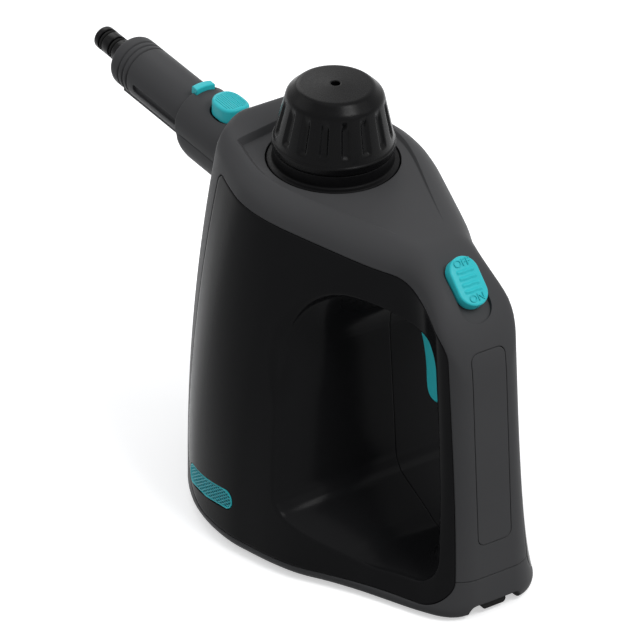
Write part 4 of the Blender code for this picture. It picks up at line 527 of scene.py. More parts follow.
def loft(name, rings, material=None, closed=False):
    # Skin over rings of equal point counts. A ring of one point closes to a pole.
    bm = bmesh.new()
    made = [[bm.verts.new(p) for p in ring] for ring in rings]
    pairs = list(zip(made, made[1:])) + ([(made[-1], made[0])] if closed else [])
    for first, second in pairs:
        count = max(len(first), len(second))
        for i in range(count):
            j = (i + 1) % count
            corners = [
                first[i % len(first)], first[j % len(first)], second[j % len(second)], second[i % len(second)]
            ]
            bm.faces.new(list(dict.fromkeys(corners)))
    for ring in () if closed else (made[0], made[-1]):
        if len(ring) > 2:
            bm.faces.new(ring)
    return meshPiece(name, bm, material)


def lathe(name, profile, steps, material=None, place=None):
    # Turned solid about Z from (radius, height) points.
    rings = []
    for radius, height in profile:
        turns = [math.tau * i / steps for i in range(steps)] if radius else [0.0]
        rings.append([Vector((radius * math.cos(a), radius * math.sin(a), height)) for a in turns])
    obj = loft(name, rings, material)
    if place:
        obj.data.transform(place)
    return obj


def openBore(piece):
    # A tube's profile ends where it starts, so the discs across its bore come away.
    bm = bmesh.new()
    bm.from_mesh(piece.data)
    bmesh.ops.delete(bm, geom=[f for f in bm.faces if len(f.verts) > 4], context="FACES_ONLY")
    bmesh.ops.recalc_face_normals(bm, faces=bm.faces[:])
    bm.to_mesh(piece.data)
    bm.free()
    return piece


def softProfile(corners, steps=5):
    # A lathe profile whose inner corners are rounded. A corner is (radius, height, rounding).
    points = [corners[0][:2]]
    for before, corner, after in zip(corners, corners[1:], corners[2:]):
        here = Vector(corner[:2])
        if not corner[2]:
            points.append(corner[:2])
            continue
        start = here + (Vector(before[:2]) - here).normalized() * corner[2]
        end = here + (Vector(after[:2]) - here).normalized() * corner[2]
        for k in range(steps + 1):
            t = k / steps
            p = start * (1 - t) ** 2 + here * 2 * t * (1 - t) + end * t * t
            points.append((p.x, p.y))
    return points + [corners[-1][:2]]


def prism(name, outline, low, high, axis):
    spots = {"x": lambda p, d: (d, p.x, p.y), "y": lambda p, d: (p.x, d, p.y), "z": lambda p, d: (p.x, p.y, d)}
    return loft(name, [[Vector(spots[axis](p, d)) for p in outline] for d in (low, high)])


def roundedBox(name, low, high, radius, axis):
    # A box whose four edges along one axis are rounded.
    k = "xyz".index(axis)
    a, b = [i for i in range(3) if i != k]
    corners = [(low[a], low[b], radius), (high[a], low[b], radius)]
    corners += [(high[a], high[b], radius), (low[a], high[b], radius)]
    return prism(name, roundedOutline(corners, 10), low[k], high[k], axis)


def bake(obj):
    # The mesh that the modifiers give, as the object's own.
    bpy.context.view_layer.update()
    graph = bpy.context.evaluated_depsgraph_get()
    mesh = bpy.data.meshes.new_from_object(obj.evaluated_get(graph))
    obj.modifiers.clear()
    obj.data = mesh
    return obj


def combine(obj, other, operation, keep=False):
    modifier = obj.modifiers.new(operation.title(), "BOOLEAN")
    modifier.object = other
    modifier.operation = operation
    modifier.solver = "EXACT"
    bake(obj)
    if not keep:
        bpy.data.objects.remove(other, do_unlink=True)
    return obj


def cut(obj, other, keep=False):
    return combine(obj, other, "DIFFERENCE", keep)


def copyOf(obj, name):
    twin = obj.copy()
    twin.data = obj.data.copy()
    twin.name = name
    bpy.context.scene.collection.objects.link(twin)
    return twin


def shadeSmooth(obj, degrees=None):
    obj.data.shade_smooth()
    obj.data.set_sharp_from_angle(angle=math.radians(degrees or fineness["sharpDegrees"]))
    return obj


def stand(obj):
    # From the upright body's frame to the row frame.
    obj.data.transform(Matrix.Translation(bodyStand))
    return obj


def wearBody(obj, body, slot, *replaced):
    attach(obj, body)
    if replaced:
        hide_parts(*replaced)
    return obj


topFrame = Matrix.Translation((0, 0, bodyShape["height"])) @ Matrix.Rotation(bodyShape["topTilt"], 4, "Y")
nozzleDrop = Matrix.Translation((0, 0, -bodyShape["nozzleDrop"]))
nozzleFrame = topFrame @ nozzleDrop @ Matrix.Rotation(-math.pi / 2, 4, "Y")
bodyStand = Vector((0.029521, 0.0, 0.0012))
wide = bodyShape["baseHalfWidth"] + bodyShape["overrun"]
gap = bodyShape["gap"]


def hullRing(s, inset, drop, sideSteps, edgeSteps, deckSteps):
    # One whole section of the body, up the near side, over the deck and down the far side.
    low = floorHeight(s, inset)
    high = deckHeight(s, inset) - drop
    least = bodyShape["leastRadius"]
    lowRadius = min(
        max(bodyShape["baseEdgeRadius"] - inset, least), halfWidth(s, low, inset) * bodyShape["edgeWidthShare"]
    )
    highRadius = min(
        max(bodyShape["deckEdgeRadius"] - inset, least), halfWidth(s, high, inset) * bodyShape["edgeWidthShare"]
    )
    side = []
    for k in range(edgeSteps + 1):
        angle = math.pi / 2 * k / edgeSteps
        z = low + lowRadius * (1 - math.cos(angle))
        side.append((halfWidth(s, z, inset) - lowRadius * (1 - math.sin(angle)), z))
    start = low + lowRadius
    for k in range(1, sideSteps):
        z = start + (high - highRadius - start) * k / sideSteps
        side.append((halfWidth(s, z, inset), z))
    for k in range(edgeSteps + 1):
        angle = math.pi / 2 * k / edgeSteps
        z = high - highRadius * (1 - math.sin(angle))
        side.append((halfWidth(s, z, inset) - highRadius * (1 - math.cos(angle)), z))
    near = [Vector((0, -y, z)) for y, z in side]
    far = [Vector((0, y, z)) for y, z in reversed(side)]
    deck = [near[-1].lerp(far[0], k / deckSteps) for k in range(1, deckSteps)]
    floor = [far[-1].lerp(near[0], k / deckSteps) for k in range(1, deckSteps)]
    ring = near + deck + far + floor
    return [Vector((s - bodyShape["noseToCap"] + leanShift(s, p.z), p.y, p.z)) for p in ring]


def hullSolid(name, inset=0.0, drop=0.0, counts=(19, 52, 24), sides=(34, 8, 8)):
    # counts: stations round the nose, between, and round the rear.
    run = bodyShape["noseRun"] - inset
    tail = bodyShape["rearTopRadius"] - inset
    noseAngles = [math.pi / 2 * k / (counts[0] - 1) for k in range(counts[0])]
    rearAngles = [math.pi / 2 * k / (counts[2] - 1) for k in range(counts[2])]
    first = [inset + run * (1 - math.cos(a)) for a in noseAngles]
    last = [bodyShape["length"] - inset - tail * (1 - math.sin(a)) for a in rearAngles]
    step = (last[0] - first[-1]) / (counts[1] + 1)
    middle = [first[-1] + step * (k + 1) for k in range(counts[1])]
    hull = loft(name, [hullRing(s, inset, drop, *sides) for s in first + middle + last])
    # Strips from side to side close the nose and the back, and follow their lean.
    near = bodyShape["levelNearness"]
    bm = bmesh.new()
    bm.from_mesh(hull.data)
    for face in [f for f in bm.faces if len(f.verts) > 4]:
        around = list(face.verts)
        start = next(i for i, v in enumerate(around) if v.co.y > -near >= around[i - 1].co.y)
        around = around[start:] + around[:start]
        bm.faces.remove(face)
        mirror = {v: min(around, key=lambda w: abs(w.co.y + v.co.y) + abs(w.co.z - v.co.z)) for v in around}
        levels = []
        for v in (v for v in around if v.co.y > -near):
            if levels and abs(levels[-1][-1].co.z - v.co.z) < near:
                levels[-1].append(v)
            else:
                levels.append([v])
        for i, (lower, upper) in enumerate(zip(levels, levels[1:])):
            lower = lower if i == 0 else lower[-1:]
            upper = upper if i == len(levels) - 2 else upper[:1]
            half = lower + upper
            bm.faces.new(list(dict.fromkeys(half + [mirror[v] for v in reversed(half)])))
    bmesh.ops.recalc_face_normals(bm, faces=bm.faces[:])
    bm.to_mesh(hull.data)
    bm.free()
    return hull


def smoothNormals(obj, guide, nearness=0.00002, sameWay=0.9):
    # Faces that lie on the uncut surface take its smooth normals, so cuts leave no dents in the sheen.
    guideMesh = guide.data
    tree = BVHTree.FromPolygons(
        [v.co for v in guideMesh.vertices], [list(p.vertices) for p in guideMesh.polygons]
    )
    normals = [v.normal.copy() for v in guideMesh.vertices]
    mesh = obj.data
    custom = [Vector((0, 0, 0))] * len(mesh.loops)
    for face in mesh.polygons:
        where, faceNormal, index, distance = tree.find_nearest(face.center)
        if distance > nearness or faceNormal.dot(face.normal) < sameWay:
            continue
        for loop in face.loop_indices:
            spot = mesh.vertices[mesh.loops[loop].vertex_index].co
            where, faceNormal, index, distance = tree.find_nearest(spot)
            corners = guideMesh.polygons[index].vertices
            weights = [1 / max((guideMesh.vertices[c].co - where).length, nearness) for c in corners]
            custom[loop] = sum((normals[c] * w for c, w in zip(corners, weights)), Vector()).normalized()
    mesh.normals_split_custom_set([tuple(n) for n in custom])
    return obj


# Shell above the parting line: the whole body less what the panels, dish, keys and cover take.
shellDetail = {
    "wall": 0.0025,
    "dishDepth": 0.0025,
    "dishRadius": 0.0347,
    "dishMargin": 0.0063,
    "dishEnd": 0.075,
    "dishTurnStart": math.radians(82),
    "fillerHoleRadius": 0.0288,
    "collarWay": 0.0148,
    "collarReach": 0.100,
}
switchShape = {
    "x": 0.0978,
    "z": 0.1478,
    "slope": math.radians(44.5),
    "length": 0.0222,
    "halfWidth": 0.0069,
    "rise": 0.0021,
    "crown": 0.0005,
    "travel": 0.0055,
    "recessSide": 0.0007,
    "recessDepth": 0.0032,
    "edge": 0.0008,
    "ridges": 4,
    "ridgePitch": 0.0029,
    "ridgeHeight": 0.0006,
    "ridgeWidth": 0.0015,
    "ridgeSpan": 0.0088,
    "ridgeWave": 0.00012,
    "ridgeWaveRate": 1400.0,
    "ridgeEndFade": 0.0007,
    "letterSize": 0.0046,
    "letterRise": 0.00045,
    "letterPlace": 0.0079,
    "seatGap": 0.0006,
    "meshSteps": (150, 60),
}
coverShape = {
    "low": 0.0335,
    "high": 0.1228,
    "halfWidth": 0.0083,
    "radius": 0.0035,
    "thickness": 0.0014,
    "start": 0.095,
    "meshCounts": ((6, 20, 10), (10, 3, 2)),
}
wholeHull = hullSolid("whole hull")
innerHull = hullSolid("inner hull", shellDetail["wall"], shellDetail["dishDepth"], (4, 8, 5), (5, 2, 1))
core = copyOf(wholeHull, "core")
core.data.transform(Matrix.Diagonal((1, panelShape["coreWidthShare"], panelShape["coreHeightShare"], 1)))
panelOutline = roundedOutline(sideCorners(panelShape["panelCornerShares"]), 16)
panelWindow = cut(prism("panel window", offsetOutline(panelOutline, gap), -wide, wide, "y"), core)
shell = cut(copyOf(wholeHull, "shellUpper"), innerHull, keep=True)
cut(shell, panelWindow, keep=True)
below = Vector((bodyShape["length"], wide, bodyShape["partingHeight"]))
lowCorner = Vector((-wide - 0.02, -wide, -0.02))


def plainBox(name, low, high):
    corners = [
        Vector((x, y)) for x, y in ((low[0], low[1]), (high[0], low[1]), (high[0], high[1]), (low[0], high[1]))
    ]
    return prism(name, corners, low[2], high[2], "z")


cut(shell, plainBox("lower part", lowCorner, below))


def dishOutline(step):
    # Round in front of the cap, then parallel to the deck's edges to the rear.
    turn = shellDetail["dishTurnStart"]
    angles = [math.pi + (math.tau - math.pi - turn * 2) * (k / step - 0.5) for k in range(step + 1)]
    front = [Vector((math.cos(a), math.sin(a))) * shellDetail["dishRadius"] for a in angles]
    start = front[-1].x
    rear = []
    for k in range(1, step + 1):
        x = start + (shellDetail["dishEnd"] - start) * k / step
        share = splineValue((x + bodyShape["noseToCap"]) / bodyShape["length"], 2)
        rear.append(Vector((x, shellDetail["dishMargin"] - bodyShape["deckHalfWidth"] * share)))
    return front + rear + [Vector((p.x, -p.y)) for p in reversed(rear)]


dishRings = []
for height in (0, 0.01):
    spread = offsetOutline(dishOutline(28), height - shellDetail["dishDepth"])
    dishRings.append([topFrame @ Vector((p.x, p.y, height)) for p in spread])
cut(shell, loft("dish", dishRings))
holeProfile = [
    (0, -0.03), (shellDetail["fillerHoleRadius"], -0.03), (shellDetail["fillerHoleRadius"], 0.02), (0, 0.02)
]
cut(shell, lathe("filler hole", holeProfile, 96, place=topFrame))


def switchFrame():
    # X down the slope of the grip's top, Z out of it.
    middle = Matrix.Translation((switchShape["x"], 0, switchShape["z"]))
    return middle @ Matrix.Rotation(switchShape["slope"], 4, "Y")


recessHalf = switchShape["halfWidth"] + switchShape["recessSide"]
recessStart = -switchShape["length"] / 2 - switchShape["recessSide"]
recessEnd = switchShape["length"] / 2 + switchShape["travel"] + switchShape["recessSide"]
recess = roundedBox(
    "recess",
    (recessStart, -recessHalf, -switchShape["recessDepth"]),
    (recessEnd, recessHalf, 0.01),
    recessHalf * 0.97,
    "z",
)
recess.data.transform(switchFrame())
cut(shell, recess)
coverSize = Vector((bodyShape["length"], coverShape["halfWidth"], coverShape["high"]))
coverLow = Vector((coverShape["start"], -coverShape["halfWidth"], coverShape["low"]))
margin = Vector((0, gap, gap))
seat = roundedBox("cover seat", coverLow - margin, coverSize + margin, coverShape["radius"] + gap, "x")
seatInset = coverShape["thickness"] + gap
cut(seat, hullSolid("seat floor", seatInset, seatInset, *coverShape["meshCounts"]))
cut(shell, seat)
collarWay = [(0, 0), (shellDetail["collarWay"], 0), (shellDetail["collarWay"], shellDetail["collarReach"])]
cut(shell, lathe("collar way", collarWay + [(0, shellDetail["collarReach"])], 64, place=nozzleFrame))
shadeSmooth(shell)
smoothNormals(shell, wholeHull)
shell.data.materials.append(satinShell)
wearBody(stand(shell), "body", "shell_grey", "housing")
print("shell:", len(shell.data.polygons), "faces")

# Base: the same surface below the parting line, with the arch where the cord would leave.
baseDetail = {
    "archStart": 0.096,
    "archHalfWidth": 0.0130,
    "archHeight": 0.0055,
    "archRadius": 0.0035,
    "footRadius": 0.0053,
    "footSeat": 0.0013,
    "feet": ((-0.046, -0.027), (-0.046, 0.027), (0.100, -0.0205), (0.100, 0.0205)),
    "screws": ((-0.0645, 0.0), (0.062, -0.024), (0.062, 0.024)),
    "screwWay": 0.0033,
    "screwSeat": 0.0017,
    "wayStart": -0.01,
}


def blindWay(name, x, y, radius, depth, steps):
    # A round way from below the base up to a flat seat.
    start = baseDetail["wayStart"]
    profile = [(0, start), (radius, start), (radius, depth), (0, depth)]
    cut(base, lathe(name, profile, steps, place=Matrix.Translation((x, y, 0))))


base = copyOf(wholeHull, "baseLower")
combine(base, plainBox("under", lowCorner, below - Vector((0, 0, gap))), "INTERSECT")
archWall = shellDetail["wall"]
wallReach = baseDetail["archHalfWidth"] + archWall
wallLow = (baseDetail["archStart"] - archWall, -wallReach, -0.02)
wallHigh = (bodyShape["length"], wallReach, baseDetail["archHeight"] + archWall)
cut(innerHull, roundedBox("arch wall", wallLow, wallHigh, baseDetail["archRadius"], "x"))
cut(base, innerHull)
cut(base, panelWindow)
archLow = (baseDetail["archStart"], -baseDetail["archHalfWidth"], -0.02)
archHigh = (bodyShape["length"], baseDetail["archHalfWidth"], baseDetail["archHeight"])
cut(base, roundedBox("arch", archLow, archHigh, baseDetail["archRadius"], "x"))
for x, y in baseDetail["feet"]:
    blindWay("foot seat", x, y, baseDetail["footRadius"], baseDetail["footSeat"], 40)
for x, y in baseDetail["screws"]:
    blindWay("screw way", x, y, baseDetail["screwWay"], baseDetail["screwSeat"], 32)
shadeSmooth(base)
smoothNormals(base, wholeHull)
base.data.materials.append(satinShell)
wearBody(stand(base), "body", "shell_grey", "base_cover")

cover = combine(
    roundedBox("gripCover", coverLow, coverSize, coverShape["radius"], "x"), wholeHull, "INTERSECT", True
)
backInset = coverShape["thickness"]
cut(cover, hullSolid("cover back", backInset, backInset, *coverShape["meshCounts"]))
shadeSmooth(cover)
smoothNormals(cover, wholeHull)
cover.data.materials.append(satinShell)
wearBody(stand(cover), "body", "shell_grey", "grip_cover")
print("base and grip cover done")


# Side panels: one smooth skin from the panel's edge over the mouth's lip to the seam in the middle.
panelDetail = {
    "turns": 260,
    "leastTurn": 0.003,
    "faceRings": 30,
    "tunnelRings": 34,
    "lip": 0.0011,
    "scoopLip": 0.0045,
    "lipSteps": 7,
    "edge": 0.0006,
    "edgeSteps": 4,
    "edgeDepth": 0.0020,
    "edgeFlat": 0.0004,
    "flange": 0.0009,
    "skin": 0.0011,
    "seam": 0.00015,
}


def crossing(outline, centre, angle):
    # Where a line from the centre at this angle meets the outline.
    heading = Vector((math.cos(angle), math.sin(angle)))
    best = None
    for i, start in enumerate(outline):
        side = outline[(i + 1) % len(outline)] - start
        turn = heading.cross(side)
        if abs(turn) < 1e-10:
            continue
        away = (start - centre).cross(side) / turn
        along = (start - centre).cross(heading) / turn
        if away > 0 and -0.001 <= along <= 1.001:
            best = away if best is None else max(best, away)
    return centre + heading * best


def panelSkin():
    # Rings of the near side's panel, from its outer edge to the seam.
    centre = Vector((panelShape["mouthCentreX"], panelShape["mouthCentreZ"]))
    mouth = roundedOutline(sideCorners(panelShape["mouthCornerShares"]), 16)
    angles = [math.tau * k / panelDetail["turns"] for k in range(panelDetail["turns"])]
    angles += [math.atan2((p - centre).y, (p - centre).x) % math.tau for p in panelOutline]
    angles.sort()
    kept = [a for a, b in zip(angles, angles[1:] + [math.tau + angles[0]]) if b - a > panelDetail["leastTurn"]]
    rim = [crossing(mouth, centre, a) for a in kept]
    outer = [crossing(panelOutline, centre, a) for a in kept]
    lipGrowth = panelDetail["scoopLip"] - panelDetail["lip"]
    lipRadii = [panelDetail["lip"] + lipGrowth * scoopShare(a) for a in kept]
    rings = []
    # The edge that tucks into the shell, and its small rounding.
    flange = offsetOutline(outer, panelDetail["flange"])
    rings.append(
        [Vector((f.x, panelDetail["edgeDepth"] - surfaceWidth(p.x, p.y), f.y)) for f, p in zip(flange, outer)]
    )
    for depth in (panelDetail["edgeDepth"] - panelDetail["edgeFlat"], panelDetail["edge"]):
        rings.append([Vector((p.x, depth - surfaceWidth(p.x, p.y), p.y)) for p in outer])
    for k in range(1, panelDetail["edgeSteps"] + 1):
        turn = math.pi / 2 * k / panelDetail["edgeSteps"]
        ring = offsetOutline(outer, -panelDetail["edge"] * (1 - math.cos(turn)))
        drop = panelDetail["edge"] * (1 - math.sin(turn))
        rings.append([Vector((p.x, drop - surfaceWidth(p.x, p.y), p.y)) for p in ring])
    faceStart = offsetOutline(outer, -panelDetail["edge"])
    # The lip: the mouth's outline one lip's depth in, and round out to the face.
    lipRing = []
    for i, p in enumerate(rim):
        width = surfaceWidth(p.x, p.y)
        lipRing.append(mouthRing([p], -(1 - lipRadii[i] / width))[0])
    lipFlat = [Vector((p.x, p.z)) for p in lipRing]
    outwards = []
    for i, p in enumerate(lipFlat):
        along = (lipFlat[(i + 1) % len(lipFlat)] - lipFlat[i - 1]).normalized()
        outwards.append(Vector((along.y, -along.x)))
    faceEnd = [p + n * r for p, n, r in zip(lipFlat, outwards, lipRadii)]
    count = panelDetail["faceRings"]
    for k in range(1, count + 1):
        t = smoothStep(0, 1, k / count) * 0.5 + 0.5 * k / count
        ring = [a.lerp(b, t) for a, b in zip(faceStart, faceEnd)]
        rings.append([Vector((p.x, -surfaceWidth(p.x, p.y), p.y)) for p in ring])
    for k in range(1, panelDetail["lipSteps"] + 1):
        turn = math.pi / 2 * k / panelDetail["lipSteps"]
        ring = []
        for p, n, r in zip(lipFlat, outwards, lipRadii):
            spot = p + n * r * (1 - math.sin(turn))
            ring.append(Vector((spot.x, r * (1 - math.cos(turn)) - surfaceWidth(spot.x, spot.y), spot.y)))
        rings.append(ring)
    count = panelDetail["tunnelRings"]
    for k in range(1, count + 1):
        t = k / count
        ring = []
        for i, p in enumerate(rim):
            width = surfaceWidth(p.x, p.y)
            share = (1 - lipRadii[i] / width) * (1 - t)
            spot = mouthRing([p], -max(share, 1e-6))[0]
            flat = surfaceWidth(lipFlat[i].x, lipFlat[i].y) - lipRadii[i]
            ring.append(Vector((spot.x, -panelDetail["seam"] - (flat - panelDetail["seam"]) * (1 - t), spot.z)))
        rings.append(ring)
    return rings


def panelPiece(name, rings, side):
    # An open skin given its wall by Solidify. side: -1 near, 1 far.
    bm = bmesh.new()
    made = [[bm.verts.new((p.x, p.y * -side, p.z)) for p in ring] for ring in rings]
    for first, second in zip(made, made[1:]):
        for i in range(len(first)):
            j = (i + 1) % len(first)
            corners = (first[i], second[i], second[j], first[j])
            bm.faces.new(corners if side < 0 else corners[::-1])
    mesh = bpy.data.meshes.new(name)
    bm.to_mesh(mesh)
    bm.free()
    obj = bpy.data.objects.new(name, mesh)
    bpy.context.scene.collection.objects.link(obj)
    probe = max(mesh.polygons, key=lambda f: abs(f.center.y))
    if probe.normal.y * side < 0:
        mesh.flip_normals()
    wall = obj.modifiers.new("wall", "SOLIDIFY")
    wall.thickness = panelDetail["skin"]
    wall.offset = -1.0
    bake(obj)
    shadeSmooth(obj, 50)
    obj.data.materials.append(pianoPanel)
    return obj


skinRings = panelSkin()
panelLeft = panelPiece("panelLeft", skinRings, -1)
panelRight = panelPiece("panelRight", skinRings, 1)
# The slot that the trigger moves in, cut through the grip's front.
slotCutter = {"front": 0.0722, "rear": 0.105, "low": 0.0858, "high": 0.138, "half": 0.0083}
for panel in (panelLeft, panelRight):
    slotLow = (slotCutter["front"], -slotCutter["half"], slotCutter["low"])
    slotHigh = (slotCutter["rear"], slotCutter["half"], slotCutter["high"])
    cut(panel, plainBox("trigger slot", slotLow, slotHigh))
wearBody(stand(panelLeft), "body", "gloss_black", "side_panel_left")
wearBody(stand(panelRight), "body", "gloss_black", "side_panel_right")
print("panels:", len(panelLeft.data.polygons), "faces each")


def geometryTree(name, inputs):
    # A node group with one geometry and the named sizes as its inputs.
    tree = bpy.data.node_groups.new(name, "GeometryNodeTree")
    tree.interface.new_socket(name="Geometry", in_out="INPUT", socket_type="NodeSocketGeometry")
    for label, value in inputs.items():
        kind = "NodeSocketInt" if isinstance(value, int) else "NodeSocketFloat"
        socket = tree.interface.new_socket(name=label, in_out="INPUT", socket_type=kind)
        socket.default_value = value
    tree.interface.new_socket(name="Geometry", in_out="OUTPUT", socket_type="NodeSocketGeometry")
    return tree, addNode(tree, "NodeGroupInput").outputs


def pushed(tree, geometry, moves):
    # The geometry's points moved by sockets. moves: 0, 1 or 2 for X, Y or Z, with its socket.
    shift = addNode(tree, "ShaderNodeCombineXYZ", {}, moves)
    links = {"Geometry": geometry, "Offset": shift.outputs[0]}
    return addNode(tree, "GeometryNodeSetPosition", {}, links).outputs[0]


def pointParts(tree):
    # A point's place as three sockets.
    place = addNode(tree, "GeometryNodeInputPosition").outputs[0]
    return addNode(tree, "ShaderNodeSeparateXYZ", {}, {0: place}).outputs


def finishTree(tree, geometry, material):
    whole = addNode(tree, "GeometryNodeRealizeInstances", {}, {"Geometry": geometry})
    coated = addNode(tree, "GeometryNodeSetMaterial", {"Material": material}, {"Geometry": whole.outputs[0]})
    addNode(tree, "NodeGroupOutput", {}, {0: coated.outputs[0]})


def growWith(obj, tree, values):
    # Sets the tree's inputs by their identifiers and keeps the result as a plain mesh.
    modifier = obj.modifiers.new(tree.name, "NODES")
    modifier.node_group = tree
    places = {item.name: item.identifier for item in tree.interface.items_tree if item.in_out == "INPUT"}
    for label, value in values.items():
        modifier[places[label]] = value
    return bake(obj)


def sums(tree, operation, first, second=None, third=None):
    # One step of arithmetic. A number goes in as it is, a socket is linked.
    node = tree.nodes.new("ShaderNodeMath")
    node.operation = operation
    for i, value in enumerate((first, second, third)):
        if isinstance(value, (int, float)):
            node.inputs[i].default_value = value
        elif value is not None:
            tree.links.new(value, node.inputs[i])
    return node.outputs[0]


def fade(tree, value, low, high):
    # 0 below low, 1 above high, smooth between.
    node = addNode(tree, "ShaderNodeMapRange", {"interpolation_type": "SMOOTHSTEP"}, {"Value": value})
    for label, limit in (("From Min", low), ("From Max", high)):
        if isinstance(limit, (int, float)):
            node.inputs[label].default_value = limit
        else:
            tree.links.new(limit, node.inputs[label])
    return node.outputs["Result"]


# Safety cap: a turned body whose flutes are pressed in by rule.
capShape = {
    "low": 0.0066,
    "bandTop": 0.0105,
    "shoulder": 0.0317,
    "top": 0.0366,
    "skirtRadius": 0.0262,
    "shoulderRadius": 0.02075,
    "topRadius": 0.0162,
    "wall": 0.0022,
    "holeRadius": 0.0020,
    "holeDepth": 0.0040,
    "flutes": 16,
    "fluteDepth": 0.0013,
    "fluteLow": 0.0132,
    "fluteHigh": 0.0312,
    "fluteRunIn": 0.0022,
    "fluteRunOut": 0.006,
    "fluteSkin": 0.0012,
    "fluteFlat": 0.95,
    "bandStep": 0.0006,
    "bandSlope": 0.0006,
    "skirtEdge": 0.0006,
    "bandEdge": 0.0003,
    "shoulderEdge": 0.0014,
    "topFall": 0.0006,
    "topEdge": 0.0012,
    "holeEdge": 0.0004,
    "edgeSteps": 6,
    "meshPitch": 0.0005,
    "turnSteps": 480,
    "sharpDegrees": 64,
}


def capBody():
    sizes = capShape
    outside = softProfile(
        [
            (sizes["skirtRadius"] - sizes["wall"], sizes["low"], 0),
            (sizes["skirtRadius"], sizes["low"], sizes["skirtEdge"]),
            (sizes["skirtRadius"], sizes["bandTop"] - sizes["bandSlope"] * 2 / 3, sizes["bandEdge"]),
            (
                sizes["skirtRadius"] - sizes["bandStep"],
                sizes["bandTop"] + sizes["bandSlope"] / 3,
                sizes["bandEdge"],
            ),
            (sizes["shoulderRadius"], sizes["shoulder"], sizes["shoulderEdge"]),
            (sizes["topRadius"], sizes["top"] - sizes["topFall"], sizes["topEdge"]),
            (sizes["holeRadius"], sizes["top"], sizes["holeEdge"]),
            (sizes["holeRadius"], sizes["top"] - sizes["holeDepth"], 0),
        ],
        sizes["edgeSteps"],
    )
    dense = [outside[0]]
    for start, end in zip(outside, outside[1:]):
        pieces = max(1, round((Vector(end) - Vector(start)).length / sizes["meshPitch"]))
        dense += [tuple(Vector(start).lerp(Vector(end), k / pieces)) for k in range(1, pieces + 1)]
    return lathe("safetyCapFluted", dense + [(0, sizes["top"] - sizes["holeDepth"])], sizes["turnSteps"])


def fluteTree():
    # Each flute is a trough of a wave round the cap, on the skirt's outside only.
    names = {"Flutes": 16, "Depth": 0.001, "Low": 0.01, "High": 0.03, "Run in": 0.002, "Run out": 0.006}
    names.update({"Skirt radius": 0.026, "Taper": 0.25, "Skirt top": 0.01, "Skin": 0.001})
    tree, given = geometryTree("pressed flutes", names)
    parts = pointParts(tree)
    squares = [sums(tree, "MULTIPLY", part, part) for part in (parts[0], parts[1])]
    radius = sums(tree, "SQRT", sums(tree, "ADD", *squares))
    turn = sums(tree, "MULTIPLY", sums(tree, "ARCTAN2", parts[1], parts[0]), given["Flutes"])
    trough = fade(tree, sums(tree, "COSINE", turn), 0.0, capShape["fluteFlat"])
    rising = fade(tree, parts[2], given["Low"], sums(tree, "ADD", given["Low"], given["Run in"]))
    # Flutes grow shallow towards the shoulder and end on it.
    outStart = sums(tree, "SUBTRACT", given["High"], given["Run out"])
    ending = sums(tree, "SUBTRACT", 1.0, fade(tree, parts[2], outStart, given["High"]))
    drawn = sums(tree, "MULTIPLY", given["Taper"], sums(tree, "SUBTRACT", parts[2], given["Skirt top"]))
    body = sums(tree, "SUBTRACT", given["Skirt radius"], drawn)
    outer = sums(tree, "GREATER_THAN", radius, sums(tree, "SUBTRACT", body, given["Skin"]))
    amount = sums(
        tree, "MULTIPLY", sums(tree, "MULTIPLY", trough, rising), sums(tree, "MULTIPLY", ending, outer)
    )
    share = sums(tree, "DIVIDE", sums(tree, "MULTIPLY", amount, given["Depth"]), radius)
    inwards = sums(tree, "MULTIPLY", share, -1.0)
    moves = {k: sums(tree, "MULTIPLY", parts[k], inwards) for k in (0, 1)}
    finishTree(tree, pushed(tree, given["Geometry"], moves), capNylon)
    return tree


capPiece = capBody()
capTaper = (capShape["skirtRadius"] - capShape["shoulderRadius"]) / (capShape["shoulder"] - capShape["bandTop"])
growWith(
    capPiece,
    fluteTree(),
    {
        "Flutes": capShape["flutes"],
        "Depth": capShape["fluteDepth"],
        "Low": capShape["fluteLow"],
        "High": capShape["fluteHigh"],
        "Run in": capShape["fluteRunIn"],
        "Run out": capShape["fluteRunOut"],
        "Skirt radius": capShape["skirtRadius"],
        "Taper": capTaper,
        "Skirt top": capShape["bandTop"],
        "Skin": capShape["fluteSkin"],
    },
)
capPiece.data.transform(topFrame)
wearBody(stand(shadeSmooth(capPiece, capShape["sharpDegrees"])), "cap", "soft_black", "safety_cap")
print("cap:", len(capPiece.data.polygons), "faces")


def pillHalf(u, halfLength, halfWidth):
    over = max(abs(u) - (halfLength - halfWidth), 0.0)
    return math.sqrt(max(halfWidth * halfWidth - over * over, 0.0))


def pillField(name, halfLength, halfWidth, along, across):
    # A flat dense sheet in the outline of a pill, u along it and v across.
    bm = bmesh.new()
    rows = []
    for i in range(along + 1):
        t = i / along
        u = -halfLength * math.cos(math.pi * t) * 0.5 + (2 * t - 1) * halfLength * 0.5
        h = pillHalf(u, halfLength, halfWidth)
        row = []
        for k in range(across + 1):
            s = k / across
            v = h * (-math.cos(math.pi * s) * 0.5 + (2 * s - 1) * 0.5)
            row.append(bm.verts.new((u, v, 0)))
        rows.append(row)
    for first, second in zip(rows, rows[1:]):
        for k in range(across):
            bm.faces.new((first[k], second[k], second[k + 1], first[k + 1]))
    bmesh.ops.remove_doubles(bm, verts=bm.verts, dist=0.00001)
    bmesh.ops.dissolve_degenerate(bm, edges=bm.edges, dist=0.000001)
    mesh = bpy.data.meshes.new(name)
    bm.to_mesh(mesh)
    bm.free()
    obj = bpy.data.objects.new(name, mesh)
    bpy.context.scene.collection.objects.link(obj)
    if mesh.polygons[len(mesh.polygons) // 2].normal.z < 0:
        mesh.flip_normals()
    return obj


